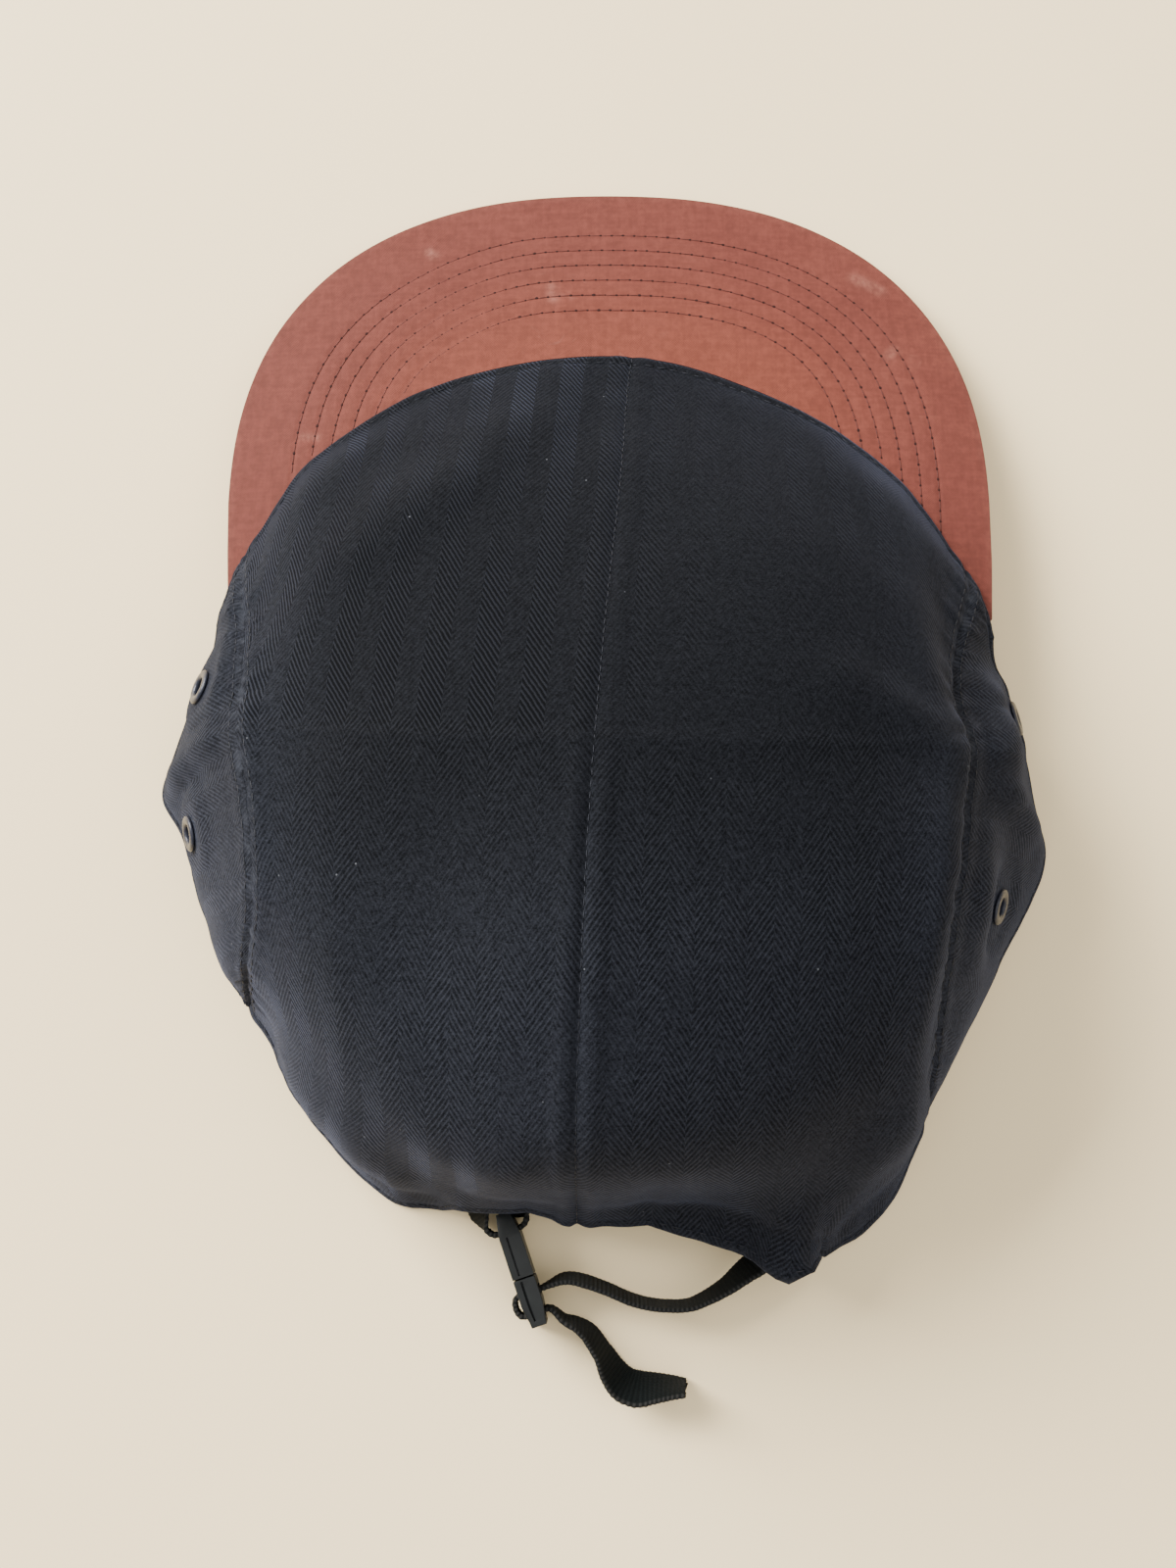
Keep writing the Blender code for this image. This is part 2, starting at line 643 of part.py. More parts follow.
def build_brim(waxed):
    outer = resample(brim_outer_edge(), BRIM_STATIONS)
    inner = resample(brim_inner_edge(), BRIM_STATIONS)
    verts, faces = [], []
    for start, end in zip(inner, outer):
        reach = (end - start).length
        shares = BRIM_ROWS + (1 - BRIM_EDGE_ROUND / reach,)
        flat = [start.lerp(end, share) for share in shares]
        top = [Vector((p.x, p.y, brim_under(p.x, p.y) + BRIM_THICKNESS)) for p in flat]
        nose = Vector((end.x, end.y, brim_under(end.x, end.y) + BRIM_THICKNESS / 2))
        under = [Vector((p.x, p.y, brim_under(p.x, p.y))) for p in reversed(flat)]
        verts += top + [nose] + under
    count = 2 * len(BRIM_ROWS) + 3
    for i in range(BRIM_STATIONS):
        for j in range(count):
            k = (j + 1) % count
            faces.append((i * count + j, i * count + k, (i + 1) * count + k, (i + 1) * count + j))
    first, last = [], []
    half = len(BRIM_ROWS)
    for base, cap in ((0, first), (BRIM_STATIONS * count, last)):
        for j in range(half):
            cap.append((base + j, base + j + 1, base + count - 2 - j, base + count - 1 - j))
        cap.append((base + half, base + half + 1, base + half + 2))
    faces += [quad[::-1] for quad in first] + last
    object_from("brim", verts, faces, waxed)


def buckle_place(length, out, height=0.0):
    """A place on the buckle: along it from the hem end, out of its left face, up from its middle."""
    turn = math.radians(BUCKLE_TURN)
    ahead = Vector((-math.sin(turn), math.cos(turn), 0))
    face = Vector((math.cos(turn), math.sin(turn), 0))
    base = Vector((BUCKLE_X * HALF_WIDTH, BUCKLE_Y * HALF_LENGTH, BUCKLE_WIDTH / 2))
    return base + ahead * length + face * out + Vector((0, 0, height))


def band(name, path, leans, steps, material):
    """A flat strip of webbing on edge along a path, leaning by its row's angle."""
    verts, faces = [], []
    total = steps * (len(path) - 1)
    spots = [along(path, k / steps) for k in range(total + 1)]
    for k, spot in enumerate(spots):
        index = min(int(k / steps), len(path) - 2)
        share = k / steps - index
        lean = math.radians(leans[index] * (1 - share) + leans[index + 1] * share)
        run = (spots[min(k + 1, total)] - spots[max(k - 1, 0)]).normalized()
        side = run.cross(Vector((0, 0, 1))).normalized()
        up = side.cross(run).normalized()
        wide = up * math.cos(lean) + side * math.sin(lean)
        thick = run.cross(wide).normalized()
        for a, b in ((-1, -1), (1, -1), (1, 1), (-1, 1)):
            verts.append(spot + wide * (a * WEB_WIDTH / 2) + thick * (b * WEB_THICKNESS / 2))
    for k in range(total):
        for m in range(4):
            n = (m + 1) % 4
            faces.append((4 * k + m, 4 * k + n, 4 * k + 4 + n, 4 * k + 4 + m))
    faces += [(3, 2, 1, 0), (4 * total, 4 * total + 1, 4 * total + 2, 4 * total + 3)]
    return object_from(name, verts, faces, material)


SLOT_WIDTH = WEB_THICKNESS + 2 * SLOT_CLEARANCE
BUCKLE_WIDTH = WEB_WIDTH + 2 * SLOT_CLEARANCE + 2 * BUCKLE_RAIL
SOCKET_LENGTH = SOCKET_SHARE * BUCKLE_LENGTH
SOCKET_SLOT = SOCKET_END_BAR + SLOT_WIDTH / 2
PLUG_START = SOCKET_LENGTH + PIECE_GAP
PLUG_SLOT_OUT = BUCKLE_LENGTH - PLUG_END_BAR - SLOT_WIDTH / 2
PLUG_SLOT_IN = PLUG_SLOT_OUT - SLOT_WIDTH - PLUG_MIDDLE_BAR
OVER_BAR = BUCKLE_THICKNESS / 2 + WEB_THICKNESS / 2 + WEB_CLEARANCE


def on_crown(rows):
    return [Vector((x * HALF_WIDTH, y * HALF_LENGTH, z * WEB_WIDTH)) for x, y, z, lean in rows]


def from_slot(rows, slot, size):
    start = buckle_place(slot, 0)
    return [Vector((start.x + x * size, start.y + y * size, z * WEB_WIDTH)) for x, y, z, lean in rows]


def leans(*tables):
    return [row[3] for table in tables for row in table]


def build_webbing(webbing):
    turn = (
        (SOCKET_SLOT - 1.4 * WEB_THICKNESS, OVER_BAR + 0.7 * WEB_THICKNESS),
        (SOCKET_SLOT - 0.3 * WEB_THICKNESS, OVER_BAR - 0.1 * WEB_THICKNESS),
        (SOCKET_SLOT, 0.6 * OVER_BAR), (SOCKET_SLOT, 0.2 * OVER_BAR),
    )
    around = [buckle_place(length, out) for length, out in turn]
    around += [buckle_place(length, -out) for length, out in reversed(turn)]
    path = on_crown(LOOP_ON_CROWN) + from_slot(LOOP_TO_BUCKLE, SOCKET_SLOT, BUCKLE_LENGTH) + around
    path += from_slot(LOOP_FROM_BUCKLE, SOCKET_SLOT, BUCKLE_LENGTH) + on_crown(LOOP_RETURN)
    lean = leans(LOOP_ON_CROWN, LOOP_TO_BUCKLE) + [0] * len(around)
    lean += leans(LOOP_FROM_BUCKLE, LOOP_RETURN)
    band("strap_loop", path, lean, 2, webbing)

    bend = 0.45 * WEB_THICKNESS
    below, above = -0.62 * BUCKLE_THICKNESS, 0.38 * BUCKLE_THICKNESS
    weave = (
        (PLUG_SLOT_IN, below), (PLUG_SLOT_IN, above), (PLUG_SLOT_IN + bend, OVER_BAR - WEB_CLEARANCE / 2),
        ((PLUG_SLOT_IN + PLUG_SLOT_OUT) / 2, OVER_BAR + WEB_CLEARANCE / 3),
        (PLUG_SLOT_OUT - bend, OVER_BAR - WEB_CLEARANCE / 2), (PLUG_SLOT_OUT, above),
        (PLUG_SLOT_OUT, below),
    )
    path = on_crown(STRAP_ON_CROWN) + from_slot(STRAP_TO_BUCKLE, PLUG_SLOT_IN, BUCKLE_LENGTH)
    path += [buckle_place(length, out) for length, out in weave]
    path += from_slot(TAIL, PLUG_SLOT_OUT, TAIL_LENGTH)
    lean = leans(STRAP_ON_CROWN, STRAP_TO_BUCKLE) + [0] * len(weave) + leans(TAIL)
    band("strap", path, lean, 2, webbing)


def buckle_block(name, start, end, out_low, out_high, up_low, up_high, bevel, material):
    bm = bmesh.new()
    bmesh.ops.create_cube(bm, size=1.0)
    for vert in bm.verts:
        vert.co.x = start + (vert.co.x + 0.5) * (end - start)
        vert.co.y = out_low + (vert.co.y + 0.5) * (out_high - out_low)
        vert.co.z = up_low + (vert.co.z + 0.5) * (up_high - up_low)
    if bevel:
        bmesh.ops.bevel(
            bm, geom=bm.edges[:], offset=bevel, segments=1, profile=0.5, affect="EDGES",
            material=-1, clamp_overlap=True,
        )
    for vert in bm.verts:
        vert.co = buckle_place(vert.co.x, vert.co.y, vert.co.z)
    bmesh.ops.recalc_face_normals(bm, faces=bm.faces)
    mesh = bpy.data.meshes.new(name)
    bm.to_mesh(mesh)
    bm.free()
    mesh.materials.append(material)
    obj = bpy.data.objects.new(name, mesh)
    bpy.context.scene.collection.objects.link(obj)
    return obj


def apply_part(body, name, extent, operation, bevel, material):
    tool = buckle_block(name, *extent, bevel, material)
    tool.hide_render = True
    tool.display_type = "WIRE"
    step = body.modifiers.new(name, "BOOLEAN")
    step.operation = operation
    step.solver = "EXACT"
    step.object = tool


def build_buckle(plastic):
    thick = BUCKLE_THICKNESS / 2
    wide = BUCKLE_WIDTH / 2
    slot = WEB_WIDTH / 2 + SLOT_CLEARANCE
    half_slot = SLOT_WIDTH / 2
    past = BUCKLE_SKIN
    mouth = SOCKET_SLOT + half_slot + SOCKET_CROSS_BAR

    socket = buckle_block(
        "buckle_socket", 0.0, SOCKET_LENGTH, -thick, thick, -wide, wide, BUCKLE_EDGE, plastic)
    through = (-thick - past, thick + past, -slot, slot)
    apply_part(socket, "cut_socket_slot", (SOCKET_SLOT - half_slot, SOCKET_SLOT + half_slot, *through),
               "DIFFERENCE", 0.0, plastic)
    inner_thick, inner_wide = thick - BUCKLE_SKIN, wide - BUCKLE_SKIN
    apply_part(socket, "cut_socket_inside",
               (mouth, SOCKET_LENGTH + past, -inner_thick, inner_thick, -inner_wide, inner_wide),
               "DIFFERENCE", 0.0, plastic)
    opening = inner_thick - SLOT_CLEARANCE
    window = (mouth + WINDOW_WALL, SOCKET_LENGTH - WINDOW_WALL, -opening, opening)
    above, below = (inner_wide - past, wide + past), (-wide - past, past - inner_wide)
    apply_part(socket, "cut_socket_upper_window", (*window, *above), "DIFFERENCE", 0.0, plastic)
    apply_part(socket, "cut_socket_lower_window", (*window, *below), "DIFFERENCE", 0.0, plastic)

    plug = buckle_block(
        "buckle_plug", PLUG_START, BUCKLE_LENGTH, -thick, thick, -wide, wide, BUCKLE_EDGE, plastic)
    for name, at in (("cut_plug_slot_in", PLUG_SLOT_IN), ("cut_plug_slot_out", PLUG_SLOT_OUT)):
        apply_part(plug, name, (at - half_slot, at + half_slot, *through), "DIFFERENCE", 0.0, plastic)
    inside = inner_thick - PIECE_GAP
    narrow = opening - PIECE_GAP
    reach = inner_wide - PIECE_GAP
    start, end = mouth + PIECE_GAP, PLUG_START + past
    for name, low, high in (
        ("join_plug_upper_arm", reach - PLUG_ARM, reach),
        ("join_plug_lower_arm", -reach, PLUG_ARM - reach),
    ):
        apply_part(plug, name, (start, end, -inside, inside, low, high), "UNION", 0.0, plastic)
    apply_part(plug, "join_plug_tongue",
               (start + past, end, -narrow, narrow, -PLUG_TONGUE / 2, PLUG_TONGUE / 2),
               "UNION", 0.0, plastic)
    button = (window[0] + 2 * PIECE_GAP, window[1] - 2 * PIECE_GAP, -narrow, narrow)
    for name, low, high in (
        ("join_plug_upper_button", reach - PLUG_ARM / 2, wide),
        ("join_plug_lower_button", -wide, PLUG_ARM / 2 - reach),
    ):
        apply_part(plug, name, (*button, low, high), "UNION", 0.0, plastic)


def centre_on_floor():
    """Move everything so that the cap's box is centred and its lowest point is on z = 0."""
    bpy.context.view_layer.update()
    shown = [obj for obj in bpy.context.scene.objects if not obj.hide_render]
    corners = [vert.co for obj in shown for vert in obj.data.vertices]
    low = Vector([min(c[k] for c in corners) for k in range(3)])
    high = Vector([max(c[k] for c in corners) for k in range(3)])
    shift = Matrix.Translation((-(low.x + high.x) / 2, -(low.y + high.y) / 2, -low.z))
    for obj in bpy.context.scene.objects:
        obj.data.transform(shift)


CLOTH_COLOUR = (0.034, 0.038, 0.050)
BRIM_COLOUR = (0.392, 0.117, 0.089)
EYELET_COLOUR = (0.050, 0.055, 0.075)
WEBBING_COLOUR = (0.035, 0.040, 0.042)
PLASTIC_COLOUR = (0.075, 0.078, 0.085)

build_crown(make_material("herringbone cotton", CLOTH_COLOUR, 0.9))
build_brim(make_material("waxed cotton", BRIM_COLOUR, 0.7))
build_eyelets(make_material("painted metal", EYELET_COLOUR, 0.4, 0.6))
build_webbing(make_material("webbing", WEBBING_COLOUR, 0.85))
build_buckle(make_material("plastic", PLASTIC_COLOUR, 0.45))
centre_on_floor()
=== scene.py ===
"""A camp cap laid on a table, dressed for the picture: herringbone crown, waxed brim, webbing and buckle.

Metres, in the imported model's frame: the brim points toward -Y, the cap's left side is +X, the top is +Z.
"""

import math

import bmesh
import bpy
from mathutils import Matrix, Vector, kdtree, noise


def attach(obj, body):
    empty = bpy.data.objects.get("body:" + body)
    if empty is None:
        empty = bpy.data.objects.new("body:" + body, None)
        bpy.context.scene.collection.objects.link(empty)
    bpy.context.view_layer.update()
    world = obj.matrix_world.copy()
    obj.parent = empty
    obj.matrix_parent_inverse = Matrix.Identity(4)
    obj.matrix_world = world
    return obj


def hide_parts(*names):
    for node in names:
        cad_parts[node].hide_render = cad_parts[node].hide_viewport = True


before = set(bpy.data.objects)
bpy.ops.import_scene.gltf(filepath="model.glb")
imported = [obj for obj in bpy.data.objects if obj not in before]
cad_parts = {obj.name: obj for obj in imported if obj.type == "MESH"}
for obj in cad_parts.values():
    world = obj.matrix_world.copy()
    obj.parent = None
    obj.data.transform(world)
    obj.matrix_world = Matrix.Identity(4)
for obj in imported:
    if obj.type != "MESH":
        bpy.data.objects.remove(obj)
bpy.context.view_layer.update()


# Camera: The picture is taken from above the back half of the cap, 48 cm over the table, and looks a little
# toward the brim, which is at the top of the frame.
PHOTO_WIDTH_PX = 1200
FOCAL_PX = 2150.0
SENSOR_WIDTH_MM = 36.0
CAMERA_PLACE = (0.0034, 0.0918, 0.480)
CAMERA_TILT = math.radians(10.5)

lens = bpy.data.cameras.new("camera")
lens.sensor_fit = "HORIZONTAL"
lens.sensor_width = SENSOR_WIDTH_MM
lens.lens = FOCAL_PX / PHOTO_WIDTH_PX * SENSOR_WIDTH_MM
lens.clip_start = 0.01
camera = bpy.data.objects.new("camera", lens)
bpy.context.scene.collection.objects.link(camera)
camera.matrix_world = Matrix.Translation(CAMERA_PLACE) @ Matrix((
    (-1.0, 0.0, 0.0, 0.0),
    (0.0, -math.cos(CAMERA_TILT), math.sin(CAMERA_TILT), 0.0),
    (0.0, math.sin(CAMERA_TILT), math.cos(CAMERA_TILT), 0.0),
    (0.0, 0.0, 0.0, 1.0),
))
bpy.context.scene.camera = camera


# Table and light: The cap lies on a plain pale table top. A wide window at the left of the picture lights it
# from low down, and pale walls all round send back a soft, slightly warm light.
TABLE_SIZE = 6.0
TABLE_COLOUR = (0.93, 0.75, 0.45)
TABLE_MOTTLE = 1.03
ROOM_COLOUR = (1.0, 0.985, 0.96)
ROOM_LIGHT = 0.84
LAMP_COLOUR = (1.0, 0.98, 0.95)
LAMP_AIM = Vector((0.0, 0.03, 0.03))
WINDOW_PLACE = (1.36, -0.96, 1.08)
WINDOW_SIZE = 1.3
WINDOW_POWER = 149.0
CEILING_PLACE = (-0.75, 0.45, 2.0)
CEILING_SIZE = 2.4
CEILING_POWER = 26.0


def add_node(tree, kind, inputs=None, **settings):
    """A new shader node. Each input is a plain value or another node's output."""
    made = tree.nodes.new("ShaderNode" + kind)
    for name, value in settings.items():
        setattr(made, name, value)
    for key, value in (inputs or {}).items():
        if isinstance(value, bpy.types.NodeSocket):
            tree.links.new(value, made.inputs[key])
        else:
            made.inputs[key].default_value = value
    return made


def calc(tree, operation, *values):
    inputs = dict(enumerate(values))
    return add_node(tree, "Math", inputs, operation=operation).outputs[0]


def blend_colours(tree, share, first, second, mode="MIX"):
    """Two colours mixed by a share. Each is three plain numbers or another node's output."""
    first, second = ((*c, 1.0) if isinstance(c, tuple) else c for c in (first, second))
    made = add_node(tree, "Mix", {0: share, 6: first, 7: second}, data_type="RGBA", blend_type=mode)
    return made.outputs[2]


def ramp(tree, value, low, high, low_out=0.0, high_out=1.0):
    """Eases from one value to another while the input goes from low to high."""
    inputs = {0: value, 1: low, 2: high, 3: low_out, 4: high_out}
    made = add_node(tree, "MapRange", inputs, interpolation_type="SMOOTHSTEP")
    return made.outputs[0]


def noise_at(tree, place, scale, detail, **more):
    """Cloudy noise from 0 to 1. Its scale is about how many clouds lie on a metre."""
    inputs = {"Vector": place, "Scale": scale, "Detail": detail, **more}
    return add_node(tree, "TexNoise", inputs).outputs[0]


def new_material(name, roughness, **sockets):
    """A material with its plain values set, its tree and shader, and the place on the object."""
    material = bpy.data.materials.new(name)
    material.use_nodes = True
    tree = material.node_tree
    shader = tree.nodes["Principled BSDF"]
    shader.inputs["Roughness"].default_value = roughness
    for key, value in sockets.items():
        shader.inputs[key.replace("_", " ")].default_value = value
    return material, tree, shader, add_node(tree, "TexCoord").outputs["Object"]


def join_surface(tree, shader, colour, height=None, strength=1.0, depth=0.0):
    """Give the shader its colour, and the bump of a height that stands for this depth in metres."""
    tree.links.new(colour, shader.inputs["Base Color"])
    if height is not None:
        bump = add_node(tree, "Bump", {"Height": height, "Strength": strength, "Distance": depth})
        tree.links.new(bump.outputs[0], shader.inputs["Normal"])


def object_from(name, bm):
    """A new object in the scene, made of a finished mesh."""
    mesh = bpy.data.meshes.new(name)
    bm.to_mesh(mesh)
    bm.free()
    made = bpy.data.objects.new(name, mesh)
    bpy.context.scene.collection.objects.link(made)
    return made


def add_light(name, place, size, power):
    lamp = bpy.data.lights.new(name, "AREA")
    lamp.size = size
    lamp.energy = power
    lamp.color = LAMP_COLOUR
    holder = bpy.data.objects.new(name, lamp)
    bpy.context.scene.collection.objects.link(holder)
    turn = (LAMP_AIM - Vector(place)).to_track_quat("-Z", "Y").to_matrix().to_4x4()
    holder.matrix_world = Matrix.Translation(place) @ turn


table_material, table_tree, table_shader, table_spot = new_material(
    "table top", 0.55, Specular_IOR_Level=0.25)
table_grain = ramp(table_tree, noise_at(table_tree, table_spot, 6.0, 3.0), 0.3, 0.7)
table_lighter = tuple(c * TABLE_MOTTLE for c in TABLE_COLOUR)
join_surface(table_tree, table_shader, blend_colours(table_tree, table_grain, TABLE_COLOUR, table_lighter))
table_bm = bmesh.new()
bmesh.ops.create_grid(table_bm, x_segments=1, y_segments=1, size=TABLE_SIZE / 2)
table = object_from("table", table_bm)
table.data.materials.append(table_material)

room = bpy.data.worlds.new("room")
room.use_nodes = True
room.node_tree.nodes["Background"].inputs["Color"].default_value = (*ROOM_COLOUR, 1.0)
room.node_tree.nodes["Background"].inputs["Strength"].default_value = ROOM_LIGHT
bpy.context.scene.world = room
add_light("window", WINDOW_PLACE, WINDOW_SIZE, WINDOW_POWER)
add_light("ceiling", CEILING_PLACE, CEILING_SIZE, CEILING_POWER)


# Crown panels: Two long main panels meet at a centre seam and run from the brim over the top to the back hem.
# A side panel is sewn to each. All four are cut from one navy herringbone cotton, and a soft crease crosses
# the top where the cap is folded flat for storing.
HALF_WIDTH = 0.100
HALF_LENGTH = 0.100
HEIGHT = 0.076
CLOTH = 0.0015
PIECE_GAP = 0.0003
TABLE_GAP = 0.00005
SIDE_BULGE = 0.0030
# A place inside the crown, from which its cloth faces away
MIDDLE = Vector((0, 0.1 * HALF_LENGTH, 0.15 * HEIGHT))
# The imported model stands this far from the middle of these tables
PLACE_SHIFT = Vector((-0.0005995, -0.0002473, 0.0))
# The arch in the back hem: its height, its ends and their corners, in shares of the half width
ARCH_HEIGHT = 0.0135
ARCH_LEFT = 0.34
ARCH_RIGHT = -0.425
ARCH_CORNER = 0.06
EYELET_WIDTH = 0.0080
EYELET_HOLE = 0.0040
EYELET_BARREL = 0.0006
EYELET_MARGIN = 0.0035
EYELET_BLEND = 0.0050
# Places along the crown are counted in sections: where its crease, arch and shoulders lie, where the side
# panels begin and leave the brim, and where the hem starts to sway
CREASE = 4
CREASE_SHARPNESS = 0.75
ARCH_SECTION = 9
SHOULDER_FROM = 3
SHOULDER_OVER = 1.5
SHOULDER_SHARPNESS = 0.45
TIP = 0.10
BRIM_END = 1.4
SWAY_FROM = 8.7
# Rows of faces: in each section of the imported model, how many times finer here, and close to the hems
STEPS = (3, 4, 4, 4, 4, 4, 3, 3, 4, 3)
FINER = 5
HEM_ROWS = (0.0, 0.018, 0.045, TIP)
MAIN_COLUMNS = 76
SIDE_COLUMNS = 44
MAIN_CROWDING = 0.72
SIDE_CROWDING = 0.55

# The brim's upper face, which carries the front hem
BRIM_WIDTH = 0.1752
BRIM_FRONT = -0.1415
BRIM_SHIFT = -0.0008
BRIM_THICKNESS = 0.0030
BRIM_SLOPE = 0.277
BRIM_BOW = 0.60
BRIM_DROOP = 0.0066

# Sections of the crown from the front hem to the back hem, in shares of its half width, half length, height
CENTRE = {
    "x": (-0.063, -0.050, -0.030, 0.003, 0.028, 0.042, 0.054, 0.063, 0.065, 0.064, 0.064),
    "y": (-0.956, -0.840, -0.560, -0.220, 0.075, 0.290, 0.540, 0.780, 0.915, 0.975, 1.024),
    "z": (0.160, 0.296, 0.553, 0.796, 0.947, 0.989, 0.992, 0.895, 0.750, 0.447, 0.030),
}
LEFT = {
    "quarter_x": (0.337, 0.325, 0.315, 0.330, 0.345, 0.365, 0.368, 0.355, 0.340, 0.325, 0.301),
    "quarter_y": (-0.905, -0.780, -0.520, -0.200, 0.058, 0.270, 0.520, 0.740, 0.870, 0.940, 0.994),
    "quarter_z": (0.200, 0.342, 0.572, 0.770, 0.875, 0.868, 0.868, 0.796, 0.651, 0.368, 0.010),
    "shoulder_x": (0.660, 0.635, 0.600, 0.575, 0.560, 0.557, 0.550, 0.535, 0.540, 0.550, 0.556),
    "shoulder_y": (-0.715, -0.600, -0.380, -0.160, 0.030, 0.230, 0.470, 0.660, 0.770, 0.855, 0.906),
    "shoulder_z": (0.250, 0.414, 0.572, 0.684, 0.757, 0.796, 0.796, 0.697, 0.553, 0.289, 0.000),
    "seam_x": (0.818, 0.813, 0.790, 0.781, 0.782, 0.746, 0.734, 0.760, 0.776, 0.786, 0.795),
    "seam_y": (-0.475, -0.370, -0.250, -0.100, 0.000, 0.160, 0.350, 0.475, 0.515, 0.540, 0.555),
    "seam_z": (0.260, 0.350, 0.445, 0.560, 0.620, 0.671, 0.645, 0.480, 0.329, 0.197, 0.105),
    "hem_x": (0.823, 0.862, 0.890, 0.960, 1.011, 0.955, 0.905, 0.868, 0.835, 0.815, 0.798),
    "hem_y": (-0.460, -0.335, -0.215, -0.100, 0.065, 0.195, 0.340, 0.450, 0.500, 0.530, 0.550),
    "hem_z": (0.260, 0.250, 0.190, 0.085, 0.000, 0.020, 0.066, 0.092, 0.103, 0.105, 0.105),
}
RIGHT = {
    "quarter_x": (
        -0.400, -0.385, -0.375, -0.365, -0.360, -0.350,
        -0.335, -0.315, -0.300, -0.300, -0.326,
    ),
    "quarter_y": (-0.848, -0.725, -0.480, -0.200, 0.070, 0.280, 0.530, 0.760, 0.890, 0.980, 1.090),
    "quarter_z": (0.210, 0.349, 0.579, 0.770, 0.888, 0.921, 0.921, 0.822, 0.658, 0.368, 0.010),
    "shoulder_x": (
        -0.660, -0.640, -0.630, -0.655, -0.690, -0.680,
        -0.650, -0.625, -0.620, -0.610, -0.595,
    ),
    "shoulder_y": (-0.660, -0.545, -0.360, -0.150, 0.055, 0.270, 0.490, 0.680, 0.800, 0.910, 1.015),
    "shoulder_z": (0.245, 0.408, 0.546, 0.658, 0.711, 0.796, 0.783, 0.658, 0.500, 0.263, 0.010),
    "seam_x": (
        -0.812, -0.810, -0.770, -0.745, -0.765, -0.728,
        -0.698, -0.690, -0.689, -0.694, -0.703,
    ),
    "seam_y": (-0.435, -0.345, -0.235, -0.090, 0.040, 0.250, 0.440, 0.600, 0.690, 0.760, 0.806),
    "seam_z": (0.260, 0.345, 0.420, 0.533, 0.612, 0.697, 0.691, 0.526, 0.388, 0.237, 0.092),
    "hem_x": (
        -0.818, -0.866, -0.886, -0.922, -0.970, -1.006,
        -0.920, -0.803, -0.755, -0.725, -0.706,
    ),
    "hem_y": (-0.420, -0.295, -0.210, -0.110, 0.045, 0.220, 0.405, 0.600, 0.695, 0.760, 0.802),
    "hem_z": (0.260, 0.250, 0.200, 0.145, 0.066, 0.000, 0.039, 0.092, 0.092, 0.092, 0.092),
}

# Folds: panel, start x, y and end x, y, width and height, all in shares of the crown's half width and length.
# A fold is lower at its ends, and all of them fade toward the seams and hems
FOLD_END_HEIGHT = 0.35
FOLD_END = 0.12
FOLD_STEEPNESS = 1.4
FOLD_FADE_ROWS = 0.33
FOLD_FADE_ACROSS = 2.5
SIDE_FOLD_FADE_ROWS = 0.57
SIDE_FOLD_FADE_DOWN = 5
FOLDS = (
    ("side_left", 0.83, -0.30, 0.84, 0.00, 0.060, 0.026),
    ("side_left", 0.89, 0.02, 1.00, 0.06, 0.055, 0.024),
    ("side_left", 0.88, 0.13, 0.88, 0.29, 0.055, 0.022),
    ("side_left", 0.90, 0.09, 0.93, 0.10, 0.050, -0.024),
    ("side_right", -0.85, -0.10, -0.86, 0.10, 0.065, 0.042),
    ("side_right", -0.89, 0.13, -0.97, 0.20, 0.055, 0.022),
    ("side_right", -0.80, 0.22, -0.77, 0.48, 0.055, 0.024),
    ("side_right", -0.88, 0.28, -0.84, 0.42, 0.060, -0.022),
    ("main_right", -0.50, -0.08, -0.72, 0.06, 0.070, 0.020),
    ("main_right", -0.68, 0.78, -0.46, 0.96, 0.065, 0.026),
    ("main_right", -0.40, 1.02, -0.53, 1.02, 0.055, 0.024),
    ("main_right", -0.375, 1.00, -0.375, 1.22, 0.090, 0.070),
    ("main_right", -0.10, 1.00, -0.29, 1.05, 0.070, -0.028),
    ("main_left", 0.70, 0.67, 0.61, 0.77, 0.050, 0.026),
    ("main_left", 0.61, 0.77, 0.46, 0.92, 0.050, 0.028),
    ("main_left", 0.33, 0.90, 0.14, 0.96, 0.070, 0.020),
    ("main_left", 0.10, -0.86, 0.32, -0.58, 0.110, 0.016),
    ("main_left", 0.32, -0.58, 0.53, -0.41, 0.110, 0.018),
    ("main_left", 0.42, -0.80, 0.62, -0.52, 0.110, -0.016),
)

# Eyelets: side, place along the sections, share of the way from the side seam down to the hem
EYELETS = (
    ("eyelet_left_front", "left", 2.85, 0.42),
    ("eyelet_left_back", "left", 5.00, 0.57),
    ("eyelet_right_front", "right", 3.20, 0.82),
    ("eyelet_right_back", "right", 5.62, 0.52),
)

# Relief of the sewing, in metres: the seams pull the cloth in, its turned edges lie under it beside them
SEAM_GROOVE = 0.00024
SEAM_GROOVE_REACH = 0.0009
SEAM_RIDGE = 0.00030
SEAM_RIDGE_AT = 0.0030
SEAM_RIDGE_REACH = 0.0020
SEAM_PUCKER = 0.00055
SEAM_PUCKER_AT = 0.0022
SEAM_PUCKER_REACH = 0.0055
SEAM_PUCKER_STEP = 0.0034
SEAM_GAP = 0.00001
# The centre seam is flatter, and twice as deep behind the fold as ahead of it
CENTRE_GROOVE = 0.00022
CENTRE_PUCKER = 0.12 * SEAM_PUCKER
CENTRE_DEEPENS_OVER = 0.012
FOLD_RIDGE = 0.00022
FOLD_RIDGE_REACH = 0.0011
